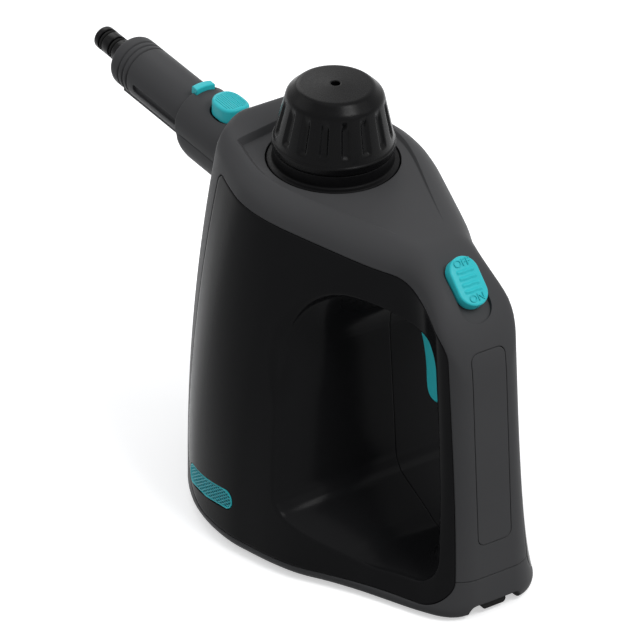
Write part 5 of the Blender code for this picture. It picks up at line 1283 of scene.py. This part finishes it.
def addSkirt(obj, depth):
    # Walls down from the sheet's border, and a floor across them.
    bm = bmesh.new()
    bm.from_mesh(obj.data)
    border = [e for e in bm.edges if e.is_boundary]
    made = bmesh.ops.extrude_edge_only(bm, edges=border)["geom"]
    lower = [v for v in made if isinstance(v, bmesh.types.BMVert)]
    for v in lower:
        v.co.z = -depth
    bmesh.ops.contextual_create(bm, geom=[e for e in made if isinstance(e, bmesh.types.BMEdge)])
    bmesh.ops.recalc_face_normals(bm, faces=bm.faces)
    bm.to_mesh(obj.data)
    bm.free()
    return obj


def ridgeTree(material):
    # Wavy ridges across a key, raised from a flat sheet.
    names = {"Ridges": 4, "Pitch": 0.003, "Height": 0.0006, "Width": 0.001, "Span": 0.009, "Wave": 0.0003}
    names.update({"Wave rate": 1000.0, "End fade": 0.001})
    tree, given = geometryTree("wavy ridges", names)
    parts = pointParts(tree)
    swing = sums(tree, "SINE", sums(tree, "MULTIPLY", parts[1], given["Wave rate"]))
    wave = sums(tree, "MULTIPLY", given["Wave"], swing)
    u = sums(tree, "ADD", parts[0], wave)
    cell = sums(tree, "PINGPONG", u, sums(tree, "MULTIPLY", given["Pitch"], 0.5))
    # Between two ridges the distance to the nearest ridge line runs up to half a pitch.
    near = sums(tree, "SUBTRACT", sums(tree, "MULTIPLY", given["Pitch"], 0.5), cell)
    rise = sums(tree, "SUBTRACT", 1.0, fade(tree, near, 0.0, sums(tree, "MULTIPLY", given["Width"], 0.75)))
    reach = sums(tree, "MULTIPLY", sums(tree, "MULTIPLY", given["Ridges"], given["Pitch"]), 0.5)
    inLength = sums(tree, "LESS_THAN", sums(tree, "ABSOLUTE", u), reach)
    halfSpan = sums(tree, "MULTIPLY", given["Span"], 0.5)
    fadeStart = sums(tree, "SUBTRACT", halfSpan, given["End fade"])
    ends = fade(tree, sums(tree, "ABSOLUTE", parts[1]), fadeStart, halfSpan)
    inWidth = sums(tree, "SUBTRACT", 1.0, ends)
    raised = sums(tree, "MULTIPLY", rise, inLength)
    amount = sums(tree, "MULTIPLY", raised, sums(tree, "MULTIPLY", inWidth, given["Height"]))
    finishTree(tree, pushed(tree, given["Geometry"], {2: amount}), material)
    return tree


# Slide switch: a thick pill with rolled edges, four wavy ridges, and OFF and ON at its ends.
key = pillField("switchKey", switchShape["length"] / 2, switchShape["halfWidth"], *switchShape["meshSteps"])
ridgeValues = {
    "Ridges": switchShape["ridges"],
    "Pitch": switchShape["ridgePitch"],
    "Height": switchShape["ridgeHeight"],
    "Width": switchShape["ridgeWidth"],
    "Span": switchShape["ridgeSpan"],
    "Wave": switchShape["ridgeWave"],
    "Wave rate": switchShape["ridgeWaveRate"],
    "End fade": switchShape["ridgeEndFade"],
}
growWith(key, ridgeTree(cyanKeys), ridgeValues)
keyEdge = switchShape["edge"]
for v in key.data.vertices:
    over = max(abs(v.co.x) - (switchShape["length"] / 2 - switchShape["halfWidth"]), 0.0)
    fromEdge = switchShape["halfWidth"] - math.hypot(over, v.co.y)
    into = clamp01(1 - fromEdge / keyEdge)
    v.co.z -= keyEdge * (1 - math.sqrt(1 - into * into))
    v.co.z += switchShape["crown"] * (1 - (v.co.y / switchShape["halfWidth"]) ** 2)
addSkirt(key, switchShape["rise"] + switchShape["recessDepth"] - switchShape["seatGap"])
keyPlace = switchFrame() @ Matrix.Translation((0, 0, switchShape["rise"]))
key.data.transform(keyPlace)
wearBody(stand(shadeSmooth(key, 40)), "switch_key", "cyan", "power_switch")


def raisedWord(name, word, along):
    # A word moulded on the key, its top towards the slope's top.
    curve = bpy.data.curves.new(name, "FONT")
    curve.body = word
    curve.size = switchShape["letterSize"]
    curve.extrude = switchShape["letterRise"]
    curve.align_x = "CENTER"
    curve.align_y = "CENTER"
    flat = bpy.data.objects.new(name, curve)
    bpy.context.scene.collection.objects.link(flat)
    bpy.context.view_layer.update()
    mesh = bpy.data.meshes.new_from_object(flat.evaluated_get(bpy.context.evaluated_depsgraph_get()))
    bpy.data.objects.remove(flat, do_unlink=True)
    obj = bpy.data.objects.new(name, mesh)
    bpy.context.scene.collection.objects.link(obj)
    turn = Matrix(((0, -1, 0, along), (1, 0, 0, 0), (0, 0, 1, switchShape["crown"]), (0, 0, 0, 1)))
    mesh.transform(keyPlace @ turn)
    mesh.materials.clear()
    mesh.materials.append(cyanKeys)
    return wearBody(stand(obj), "switch_key", "cyan")


raisedWord("wordOff", "OFF", -switchShape["letterPlace"])
raisedWord("wordOn", "ON", switchShape["letterPlace"])
print("switch key done")

# Inlay on the near panel: a cyan border round a hatched floor, which follow the panel's curve.
inlayShape = {
    "length": 0.0400,
    "width": 0.0088,
    "x": 0.0005,
    "z": 0.0203,
    "tilt": math.radians(9),
    "border": 0.0007,
    "sink": 0.0004,
    "hatchLength": 0.0030,
    "hatchWidth": 0.0015,
    "hatchHeight": 0.00035,
    # Colour of the painted shade between the hatch ridges, and the share of ridge height under which it is
    # painted.
    "hatchPaintedShade": "#0e3b41",
    "hatchPaintedShadeLimit": 0.35,
    "hatchFlank": (0.78, 0.96),
    "slopeStep": 0.0005,
    "meshSteps": (230, 56),
    "thickness": 0.0006,
    "rimSteps": 120,
    # The border's section: how far inwards, and how far out of the panel.
    "rimSection": (
        (0, -0.0014),
        (0, -0.0001),
        (0.0001, 0.00012),
        (0.0003, 0.00022),
        (0.0005, 0.00012),
        (0.0007, -0.0001),
        (0.0007, -0.0014),
    ),
}


def onPanel(u, v, height):
    # A point of the inlay's flat drawing laid on the near panel. height is out of the surface.
    turn = inlayShape["tilt"]
    x = inlayShape["x"] + u * math.cos(turn) - v * math.sin(turn)
    z = inlayShape["z"] + u * math.sin(turn) + v * math.cos(turn)
    step = inlayShape["slopeStep"]
    slopeX = (surfaceWidth(x + step, z) - surfaceWidth(x - step, z)) / (2 * step)
    slopeZ = (surfaceWidth(x, z + step) - surfaceWidth(x, z - step)) / (2 * step)
    outwards = Vector((-slopeX, -1, -slopeZ)).normalized()
    return Vector((x, -surfaceWidth(x, z), z)) + outwards * height


def hatchTree(material, shade):
    # Two sets of diagonal ridges that cross, bright over a floor darkened with painted shade.
    tree, given = geometryTree("crossed hatch", {"Length": 0.004, "Width": 0.002, "Height": 0.0003})
    parts = pointParts(tree)
    waves = []
    along = sums(tree, "DIVIDE", parts[0], given["Length"])
    across = sums(tree, "DIVIDE", parts[1], given["Width"])
    for operation in ("ADD", "SUBTRACT"):
        angle = sums(tree, "MULTIPLY", sums(tree, operation, along, across), math.pi)
        waves.append(sums(tree, "ABSOLUTE", sums(tree, "SINE", angle)))
    rise = fade(tree, sums(tree, "MAXIMUM", *waves), *inlayShape["hatchFlank"])
    moved = pushed(tree, given["Geometry"], {2: sums(tree, "MULTIPLY", rise, given["Height"])})
    whole = addNode(tree, "GeometryNodeRealizeInstances", {}, {"Geometry": moved})
    bright = addNode(tree, "GeometryNodeSetMaterial", {"Material": material}, {"Geometry": whole.outputs[0]})
    # Where the ridges are low, the darker copy goes on as painted shade.
    low = sums(tree, "LESS_THAN", rise, inlayShape["hatchPaintedShadeLimit"])
    shaded = {"Geometry": bright.outputs[0], "Selection": low}
    both = addNode(tree, "GeometryNodeSetMaterial", {"Material": shade}, shaded)
    addNode(tree, "NodeGroupOutput", {}, {0: both.outputs[0]})
    return tree


inlayHalf = inlayShape["width"] / 2
inlayReach = inlayShape["length"] / 2
holeLow = (-inlayReach - gap, -wide, -inlayHalf - gap)
inlayHole = roundedBox("inlay hole", holeLow, (inlayReach + gap, -0.02, inlayHalf + gap), inlayHalf, "y")
inlayTurn = Matrix.Rotation(-inlayShape["tilt"], 4, "Y")
inlayHole.data.transform(Matrix.Translation((inlayShape["x"], 0, inlayShape["z"])) @ inlayTurn)
inlayHole.data.transform(Matrix.Translation(bodyStand))
cut(panelLeft, inlayHole)
shadeSmooth(panelLeft, 50)
floorHalf = inlayHalf - inlayShape["border"]
inlayFloor = pillField("inlayHatch", inlayReach - inlayShape["border"], floorHalf, *inlayShape["meshSteps"])
# Painted shade: the same plastic, darker between the ridges where shade falls, which keeps the pattern clear
# from afar.
inlayPaintedShade = newMaterial("shaded teal ABS", inlayShape["hatchPaintedShade"], 0.5, IOR=1.50, Specular_IOR_Level=0.1)
hatchValues = {
    "Length": inlayShape["hatchLength"],
    "Width": inlayShape["hatchWidth"],
    "Height": inlayShape["hatchHeight"],
}
growWith(inlayFloor, hatchTree(tealInlay, inlayPaintedShade), hatchValues)
addSkirt(inlayFloor, inlayShape["thickness"])
for v in inlayFloor.data.vertices:
    v.co = onPanel(v.co.x, v.co.y, v.co.z - inlayShape["sink"])
wearBody(stand(shadeSmooth(inlayFloor, 60)), "body", "cyan", "badge")
rimRings = []
for inward, height in inlayShape["rimSection"]:
    half = inlayHalf - inward
    reach = inlayReach - inward
    ring = []
    for k in range(inlayShape["rimSteps"]):
        turn = math.tau * k / inlayShape["rimSteps"]
        corner = math.copysign(reach - half, math.cos(turn)) if abs(math.cos(turn)) > 1e-6 else 0.0
        ring.append(onPanel(corner + half * math.cos(turn), half * math.sin(turn), height))
    rimRings.append(ring)
inlayRim = loft("inlayBorder", rimRings, cyanKeys, closed=True)
wearBody(stand(shadeSmooth(inlayRim, 60)), "body", "cyan")
print("inlay done")

# Release lever: an oval push pad with fine points on top, and the rib that hooks over the joint.
padShape = {
    "place": 0.0780,
    "halfLength": 0.0085,
    "halfWidth": 0.0070,
    "power": 2.6,
    "low": 0.0122,
    "top": 0.0185,
    "crown": 0.0010,
    "edge": 0.0011,
    "edgeSteps": 6,
    "topShares": (0.8, 0.6, 0.4, 0.2),
    "turns": 128,
    "grainShare": 0.84,
    "pitch": 0.00095,
    "pointRadius": 0.00040,
    "pointHeight": 0.00026,
    "pointTop": 0.0001,
    "pointSink": 0.00003,
}
ribShape = {
    "rear": 0.0974,
    "front": 0.1014,
    "halfWidth": 0.0047,
    "low": 0.0124,
    "radius": 0.0167,
    "edge": 0.0006,
    "sideRound": 0.0004,
    "overrun": 0.01,
    "sink": 0.003,
}


def padOutline(grow, share=1.0):
    points = []
    for k in range(padShape["turns"]):
        angle = math.tau * k / padShape["turns"]
        c, s = math.cos(angle), math.sin(angle)
        bulge = (abs(c) ** padShape["power"] + abs(s) ** padShape["power"]) ** (-1 / padShape["power"])
        across = (padShape["halfWidth"] + grow) * s * bulge * share
        points.append(Vector((across, (padShape["halfLength"] + grow) * c * bulge * share)))
    return points


def padHeight(across):
    return padShape["top"] + padShape["crown"] * (1 - (across / padShape["halfWidth"]) ** 2)


padRings = [[Vector((padShape["low"], p.x, padShape["place"] + p.y)) for p in padOutline(0)]]
for k in range(padShape["edgeSteps"] + 1):
    turn = math.pi / 2 * k / padShape["edgeSteps"]
    inward = padShape["edge"] * (1 - math.cos(turn))
    drop = padShape["edge"] * (1 - math.sin(turn))
    padRings.append(
        [Vector((padHeight(p.x) - drop, p.x, padShape["place"] + p.y)) for p in padOutline(-inward)]
    )
for share in padShape["topShares"]:
    ring = padOutline(-padShape["edge"], share)
    padRings.append([Vector((padHeight(p.x), p.x, padShape["place"] + p.y)) for p in ring])
padRings.append([Vector((padHeight(0), 0, padShape["place"]))])
pad = loft("releasePad", padRings, cyanKeys)
pad.data.transform(nozzleFrame)
wearBody(stand(shadeSmooth(pad, 50)), "latch", "cyan", "release_lever")
ribProfile = softProfile(
    [
        (ribShape["low"] - ribShape["sink"], ribShape["rear"], 0),
        (ribShape["radius"], ribShape["rear"], ribShape["edge"]),
        (ribShape["radius"], ribShape["front"], ribShape["edge"]),
        (ribShape["low"] - ribShape["sink"], ribShape["front"], 0),
    ],
    5,
)
rib = lathe("latchRib", [(0, ribShape["rear"])] + ribProfile + [(0, ribShape["front"])], 256, place=nozzleFrame)
ribLow = (ribShape["low"], -ribShape["halfWidth"], ribShape["rear"] - ribShape["overrun"])
ribHigh = (0.03, ribShape["halfWidth"], ribShape["front"] + ribShape["overrun"])
ribBlock = roundedBox("rib block", ribLow, ribHigh, ribShape["sideRound"], "z")
ribBlock.data.transform(nozzleFrame)
combine(rib, ribBlock, "INTERSECT")
rib.data.materials.append(cyanKeys)
wearBody(stand(shadeSmooth(rib, 40)), "latch", "cyan")


def pointTree(material):
    # Small blunt cones on a grid, kept inside the pad's oval.
    names = {
        "Pitch": 0.001,
        "Half length": 0.006,
        "Half width": 0.005,
        "Power": 2.6,
        "Radius": 0.0004,
        "Height": 0.0002,
    }
    tree, given = geometryTree("fine points", names)
    gridSizes = {}
    for label, half in (("X", given["Half length"]), ("Y", given["Half width"])):
        whole = sums(tree, "MULTIPLY", half, 2.0)
        gridSizes["Size " + label] = whole
        cells = sums(tree, "ROUND", sums(tree, "DIVIDE", whole, given["Pitch"]))
        gridSizes["Vertices " + label] = sums(tree, "ADD", cells, 1.0)
    grid = addNode(tree, "GeometryNodeMeshGrid", {}, gridSizes)
    parts = pointParts(tree)
    oval = []
    for part, half in ((parts[0], given["Half length"]), (parts[1], given["Half width"])):
        share = sums(tree, "ABSOLUTE", sums(tree, "DIVIDE", part, half))
        oval.append(sums(tree, "POWER", share, given["Power"]))
    inside = sums(tree, "LESS_THAN", sums(tree, "ADD", *oval), 1.0)
    cone = {"Vertices": 8, "Radius Top": padShape["pointTop"]}
    coneLinks = {"Radius Bottom": given["Radius"], "Depth": given["Height"]}
    point = addNode(tree, "GeometryNodeMeshCone", cone, coneLinks)
    links = {"Points": grid.outputs["Mesh"], "Selection": inside, "Instance": point.outputs["Mesh"]}
    spread = addNode(tree, "GeometryNodeInstanceOnPoints", {}, links)
    finishTree(tree, spread.outputs[0], material)
    return tree


grain = meshPiece("releasePadGrain", bmesh.new())
grainValues = {
    "Pitch": padShape["pitch"],
    "Half length": padShape["halfLength"] * padShape["grainShare"],
    "Half width": padShape["halfWidth"] * padShape["grainShare"],
    "Power": padShape["power"],
    "Radius": padShape["pointRadius"],
    "Height": padShape["pointHeight"],
}
growWith(grain, pointTree(cyanKeys), grainValues)
for v in grain.data.vertices:
    spot = v.co.copy()
    height = padHeight(spot.y) - padShape["pointSink"] + spot.z
    v.co = nozzleFrame @ Vector((height, spot.y, padShape["place"] + spot.x))
wearBody(stand(shadeSmooth(grain, 20)), "latch", "cyan")
print("release lever:", len(grain.data.polygons), "faces of grain")

# Nozzle: the collar on the housing, its round lower shell, and the tube that pulls off it.
collarShape = {
    "radius": 0.0145,
    "bore": 0.0080,
    "rear": 0.0503,
    "front": 0.1000,
    "flangeRadius": 0.0162,
    "flangeFront": 0.0520,
    "edge": 0.0009,
    "padSide": 0.0008,
    "padFloor": 0.0093,
    "ribSide": 0.0004,
    "turns": 160,
    "lowerRear": 0.0560,
    "lowerTaper": 0.0925,
    "lowerFront": 0.0995,
    "lowerHalfWidth": 0.0143,
    "lowerDrop": 0.0183,
    "lowerLevel": 0.0030,
    "lowerPower": 2.3,
    "lowerEndDropShare": 0.9,
    "lowerEndWidthShare": 0.93,
    "lowerEndPower": 0.7,
    "lowerSteps": (24, 48),
}
tubeShape = {
    "radius": 0.0120,
    "rear": 0.1003,
    "front": 0.1570,
    "edge": 0.0028,
    "grooves": (0.1430, 0.1464, 0.1498),
    "grooveWidth": 0.0012,
    "grooveDepth": 0.0008,
    "spigotRadius": 0.0077,
    "spigotEnd": 0.0840,
    "socketRadius": 0.0059,
    "socketDepth": 0.0060,
    "turns": 160,
    "keelHalfWidth": 0.0072,
    "keelLow": -0.0118,
    "keelRear": 0.1030,
    "keelFront": 0.1520,
    "keelRound": 0.0010,
    "slotHalfWidth": 0.0017,
    "slotDepth": 0.0013,
    "slotAngle": math.radians(4),
    "slotRear": 0.0960,
    "slotFront": 0.1375,
}
tipShape = {
    "radius": 0.0054,
    "root": 0.1500,
    "reach": 0.1800,
    "edge": 0.0010,
    "grooves": (0.1672, 0.1750),
    "grooveWidth": 0.0030,
    "grooveRadius": 0.0039,
    "bore": 0.0018,
    "boreDepth": 0.0060,
    "ringRadius": 0.0007,
    "ringClearance": 0.0001,
    "ringSteps": (72, 16),
}
collarProfile = softProfile(
    [
        (collarShape["bore"], collarShape["rear"], 0),
        (collarShape["flangeRadius"], collarShape["rear"], 0),
        (collarShape["flangeRadius"], collarShape["flangeFront"], 0),
        (collarShape["radius"], collarShape["flangeFront"], 0),
        (collarShape["radius"], collarShape["front"], collarShape["edge"]),
        (collarShape["bore"], collarShape["front"], 0.0004),
        (collarShape["bore"], collarShape["rear"], 0),
    ]
)
collar = openBore(lathe("nozzleCollar", collarProfile, collarShape["turns"], place=nozzleFrame))
padPocket = prism("pad pocket", padOutline(collarShape["padSide"]), collarShape["padFloor"], 0.04, "x")
for v in padPocket.data.vertices:
    v.co.z += padShape["place"]
padPocket.data.transform(nozzleFrame)
cut(collar, padPocket)
ribReach = ribShape["halfWidth"] + collarShape["ribSide"]
ribWayLow = (0.0110, -ribReach, ribShape["rear"] - collarShape["ribSide"])
ribWay = roundedBox("rib way", ribWayLow, (0.04, ribReach, 0.13), 0.0003, "z")
ribWay.data.transform(nozzleFrame)
cut(collar, ribWay)
collar.data.materials.append(satinShell)
wearBody(stand(shadeSmooth(collar, 40)), "body", "shell_grey", "nozzle_collar")
lowerRings = []
lowerCount, roundCount = collarShape["lowerSteps"]
dropEnd = collarShape["radius"] * collarShape["lowerEndDropShare"]
widthEnd = collarShape["radius"] * collarShape["lowerEndWidthShare"]
for k in range(lowerCount + 1):
    t = k / lowerCount
    if t < 0.5:
        place = collarShape["lowerRear"] + (collarShape["lowerTaper"] - collarShape["lowerRear"]) * t * 2
        size = 1.0
    else:
        turn = math.pi / 2 * (t * 2 - 1)
        place = collarShape["lowerTaper"] + (collarShape["lowerFront"] - collarShape["lowerTaper"]) * math.sin(
            turn
        )
        size = max(math.cos(turn), 0.0) ** collarShape["lowerEndPower"]
    drop = dropEnd + (collarShape["lowerDrop"] - dropEnd) * size
    half = widthEnd + (collarShape["lowerHalfWidth"] - widthEnd) * size
    ring = []
    for j in range(roundCount + 1):
        angle = math.pi * j / roundCount
        across = math.copysign(abs(math.cos(angle)) ** (2 / collarShape["lowerPower"]), math.cos(angle)) * half
        down = math.sin(angle) ** (2 / collarShape["lowerPower"]) * (drop - collarShape["lowerLevel"])
        ring.append(Vector((-collarShape["lowerLevel"] - down, across, place)))
    lowerRings.append(ring)
lowerShell = loft("collarLowerShell", lowerRings)
lowerShell.data.transform(nozzleFrame)
lowerShell.data.materials.append(satinShell)
wearBody(stand(shadeSmooth(lowerShell, 40)), "body", "shell_grey", "collar_shell")

tubeCorners = [
    (0, tubeShape["spigotEnd"], 0),
    (tubeShape["spigotRadius"], tubeShape["spigotEnd"], 0.0006),
    (tubeShape["spigotRadius"], tubeShape["rear"], 0),
    (tubeShape["radius"], tubeShape["rear"], 0.0005),
]
for place in tubeShape["grooves"]:
    half = tubeShape["grooveWidth"] / 2
    tubeCorners.append((tubeShape["radius"], place - half, 0.0002))
    tubeCorners.append((tubeShape["radius"] - tubeShape["grooveDepth"], place - half * 0.5, 0.0002))
    tubeCorners.append((tubeShape["radius"] - tubeShape["grooveDepth"], place + half * 0.5, 0.0002))
    tubeCorners.append((tubeShape["radius"], place + half, 0.0002))
tubeCorners += [
    (tubeShape["radius"], tubeShape["front"], tubeShape["edge"]),
    (tubeShape["socketRadius"], tubeShape["front"], 0.0003),
    (tubeShape["socketRadius"], tubeShape["front"] - tubeShape["socketDepth"], 0),
    (0, tubeShape["front"] - tubeShape["socketDepth"], 0),
]
tube = lathe("nozzleTube", softProfile(tubeCorners), tubeShape["turns"], place=nozzleFrame)
keelHigh = (tubeShape["keelLow"] / 2, tubeShape["keelHalfWidth"], tubeShape["keelFront"])
keelLow = (tubeShape["keelLow"], -tubeShape["keelHalfWidth"], tubeShape["keelRear"])
keel = roundedBox("keel", keelLow, keelHigh, tubeShape["keelRound"], "z")
keel.data.transform(nozzleFrame)
combine(tube, keel, "UNION")
for angle in (tubeShape["slotAngle"], math.pi - tubeShape["slotAngle"]):
    reach = (tubeShape["slotFront"] - tubeShape["slotRear"]) / 2
    half = tubeShape["slotHalfWidth"]
    slotLow = (-half, tubeShape["radius"] - tubeShape["slotDepth"], -reach)
    sideSlot = roundedBox("side slot", slotLow, (half, tubeShape["radius"] + 0.02, reach), half * 0.97, "y")
    middle = Matrix.Translation((0, 0, (tubeShape["slotFront"] + tubeShape["slotRear"]) / 2))
    sideSlot.data.transform(nozzleFrame @ middle @ Matrix.Rotation(angle, 4, "Z"))
    cut(tube, sideSlot)
tube.data.materials.append(satinShell)
wearBody(stand(shadeSmooth(tube, 35)), "nozzle", "shell_grey", "nozzle_tube")

tipCorners = [(0, tipShape["root"], 0), (tipShape["radius"], tipShape["root"], 0)]
for place in tipShape["grooves"]:
    half = tipShape["grooveWidth"] / 2
    tipCorners.append((tipShape["radius"], place - half, 0.0003))
    tipCorners.append((tipShape["grooveRadius"], place - half, 0.0002))
    tipCorners.append((tipShape["grooveRadius"], place + half, 0.0002))
    tipCorners.append((tipShape["radius"], place + half, 0.0003))
tipCorners += [
    (tipShape["radius"], tipShape["reach"], tipShape["edge"]),
    (tipShape["bore"], tipShape["reach"], 0.0003),
    (tipShape["bore"], tipShape["reach"] - tipShape["boreDepth"], 0),
    (0, tipShape["reach"] - tipShape["boreDepth"], 0),
]
tip = lathe("nozzleTip", softProfile(tipCorners), 96, capNylon, nozzleFrame)
wearBody(stand(shadeSmooth(tip, 40)), "nozzle", "soft_black", "nozzle_tip")
for place, node in zip(tipShape["grooves"], ("tip_o_ring_rear", "tip_o_ring_front")):
    middle = tipShape["grooveRadius"] + tipShape["ringRadius"] + tipShape["ringClearance"]
    around, across = tipShape["ringSteps"]
    section = []
    for j in range(across):
        a = math.tau * j / across
        out = tipShape["ringRadius"] * math.cos(a)
        section.append(Vector((middle + out, 0, place + tipShape["ringRadius"] * math.sin(a))))
    turns = [Matrix.Rotation(math.tau * k / around, 3, "Z") for k in range(around)]
    rings = [[turn @ p for p in section] for turn in turns]
    seal = loft("tipRing" + node[-5:].strip("_").title(), rings, mouldedRubber, closed=True)
    seal.data.transform(nozzleFrame)
    wearBody(stand(shadeSmooth(seal)), "nozzle", "rubber", node)
print("nozzle done")

# Black ring under the cap.
ringShape = {
    "low": -0.0070,
    "radius": 0.0282,
    "lip": 0.0006,
    "wallRadius": 0.0258,
    "top": 0.0063,
    "bore": 0.0193,
    "wallFoot": 0.0008,
    "topEdge": 0.0005,
}
ringCorners = [
    (ringShape["bore"], ringShape["low"], 0),
    (ringShape["radius"], ringShape["low"], 0),
    (ringShape["radius"], 0, ringShape["lip"]),
    (ringShape["wallRadius"], ringShape["lip"], ringShape["wallFoot"]),
    (ringShape["wallRadius"], ringShape["top"], ringShape["topEdge"]),
    (ringShape["bore"], ringShape["top"], ringShape["topEdge"]),
    (ringShape["bore"], ringShape["low"], 0),
]
neckRing = openBore(lathe("neckRing", softProfile(ringCorners), 192, place=topFrame))
neckRing.data.materials.append(mattNylon)
wearBody(stand(shadeSmooth(neckRing, 40)), "body", "soft_black", "neck_collar")


# Base screws: one pan head with a cross recess, set into the base's three ways.
screwShape = {
    "headRadius": 0.0030,
    "headLow": 0.0003,
    "headHeight": 0.0011,
    "shankRadius": 0.0014,
    "length": 0.0125,
    "cross": 0.0009,
    "crossReach": 0.0019,
    "crossDepth": 0.0008,
    "edge": 0.0005,
    "turnStep": 0.6,
}
screwCorners = [
    (0, screwShape["headLow"], 0),
    (screwShape["headRadius"], screwShape["headLow"], screwShape["edge"]),
    (screwShape["headRadius"], screwShape["headLow"] + screwShape["headHeight"], 0),
    (screwShape["shankRadius"], screwShape["headLow"] + screwShape["headHeight"], 0),
    (screwShape["shankRadius"], screwShape["length"], screwShape["edge"]),
    (0, screwShape["length"], 0),
]
screwForm = lathe("screw form", softProfile(screwCorners), 48)
for across, along in (
    (screwShape["crossReach"], screwShape["cross"] / 2), (screwShape["cross"] / 2, screwShape["crossReach"])
):
    crossLow = Vector((-across, -along, -0.01))
    crossHigh = Vector((across, along, screwShape["headLow"] + screwShape["crossDepth"]))
    cut(screwForm, plainBox("cross", crossLow, crossHigh))
shadeSmooth(screwForm, 35)


def screwTree(form, material):
    # One screw on each point, each turned a little further than the one before.
    tree, given = geometryTree("base screws", {"Turn": 0.5})
    source = addNode(tree, "GeometryNodeObjectInfo", {"Object": form})
    index = addNode(tree, "GeometryNodeInputIndex").outputs[0]
    spin = addNode(tree, "ShaderNodeCombineXYZ", {}, {2: sums(tree, "MULTIPLY", index, given["Turn"])})
    links = {"Points": given["Geometry"], "Instance": source.outputs["Geometry"], "Rotation": spin.outputs[0]}
    spread = addNode(tree, "GeometryNodeInstanceOnPoints", {}, links)
    finishTree(tree, spread.outputs[0], material)
    return tree


screwPlaces = bmesh.new()
for x, y in baseDetail["screws"]:
    screwPlaces.verts.new((x, y, 0))
screws = meshPiece("baseScrews", screwPlaces)
growWith(screws, screwTree(screwForm, platedSteel), {"Turn": screwShape["turnStep"]})
wearBody(stand(screws), "body", "steel", "base_screw_front", "base_screw_left", "base_screw_right")
print("base screws:", len(screws.data.polygons), "faces")


# Pale floor, white behind it, and soft lamps.
stageSetup = {
    "floorSize": 6.0,
    "floorColour": "#9d9d9d",
    "floorSeen": "#f4f4f4",
    "floorGlow": 0.5,
    "lamps": (
        ("left lamp", (-1.1, -1.2, 1.6), 1.4, 4.5),
        ("nose lamp", (-1.7, 0.5, 1.3), 1.2, 7.0),
        ("top lamp", (0.1, 0.0, 2.0), 1.6, 3.5),
        ("deck lamp", (1.4, 0.35, 2.0), 0.9, 20.0),
        ("back lamp", (1.3, 1.3, 1.5), 1.2, 3.5),
        ("grip lamp", (1.9, 0.3, 0.9), 1.0, 1.5),
    ),
    "lampTarget": (0.02, 0.0, 0.09),
    "skyStrength": 0.42,
    "skyTint": (0.95, 0.97, 1.0, 1.0),
}


def seenRays(tree):
    # 1 for what the camera, a mirror or clear glass looks at, 0 for plain light.
    rays = addNode(tree, "ShaderNodeLightPath").outputs
    mirrored = sums(tree, "MAXIMUM", rays["Is Glossy Ray"], rays["Is Transmission Ray"])
    return sums(tree, "MAXIMUM", rays["Is Camera Ray"], mirrored)


def whiteBackground(strength):
    world = bpy.data.worlds.new("white studio")
    world.use_nodes = True
    tree = world.node_tree
    tree.nodes.clear()
    seen = addNode(tree, "ShaderNodeBackground", {"Color": (1, 1, 1, 1), "Strength": 1.0})
    light = addNode(tree, "ShaderNodeBackground", {"Color": stageSetup["skyTint"], "Strength": strength})
    links = {0: seenRays(tree), 1: light.outputs[0], 2: seen.outputs[0]}
    mixed = addNode(tree, "ShaderNodeMixShader", {}, links)
    addNode(tree, "ShaderNodeOutputWorld", {}, {"Surface": mixed.outputs[0]})
    return world


def paleFloor(colour, seenColour, glow):
    # Looks white with the object's shadow on it, and throws back only the light of its own colour.
    made = bpy.data.materials.new("pale studio floor")
    made.use_nodes = True
    tree = made.node_tree
    tree.nodes.clear()
    plain = addNode(tree, "ShaderNodeBsdfDiffuse", {"Color": hexColour(colour)})
    pale = addNode(tree, "ShaderNodeBsdfDiffuse", {"Color": hexColour(seenColour)})
    lit = addNode(tree, "ShaderNodeEmission", {"Color": (1, 1, 1, 1), "Strength": glow})
    white = addNode(tree, "ShaderNodeAddShader", {}, {0: pale.outputs[0], 1: lit.outputs[0]})
    links = {0: seenRays(tree), 1: plain.outputs[0], 2: white.outputs[0]}
    mixed = addNode(tree, "ShaderNodeMixShader", {}, links)
    addNode(tree, "ShaderNodeOutputMaterial", {}, {"Surface": mixed.outputs[0]})
    return made


bpy.context.scene.world = whiteBackground(stageSetup["skyStrength"])
floorMesh = bmesh.new()
bmesh.ops.create_grid(floorMesh, x_segments=8, y_segments=8, size=stageSetup["floorSize"] / 2)
floorFinish = paleFloor(stageSetup["floorColour"], stageSetup["floorSeen"], stageSetup["floorGlow"])
floor = meshPiece("studioFloor", floorMesh, floorFinish)
floor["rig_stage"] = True
for name, place, size, power in stageSetup["lamps"]:
    lampData = bpy.data.lights.new(name, "AREA")
    lampData.shape = "DISK"
    lampData.size = size
    lampData.energy = power
    lamp = bpy.data.objects.new(name, lampData)
    lamp.location = place
    lamp.rotation_euler = (Vector(stageSetup["lampTarget"]) - Vector(place)).to_track_quat("-Z", "Y").to_euler()
    bpy.context.scene.collection.objects.link(lamp)
# Cutters and guides that no piece needs any more.
for spare in [o for o in bpy.data.objects if o.type == "MESH" and not o.get("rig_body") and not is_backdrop(o)]:
    if not body_of(spare):
        bpy.data.objects.remove(spare, do_unlink=True)
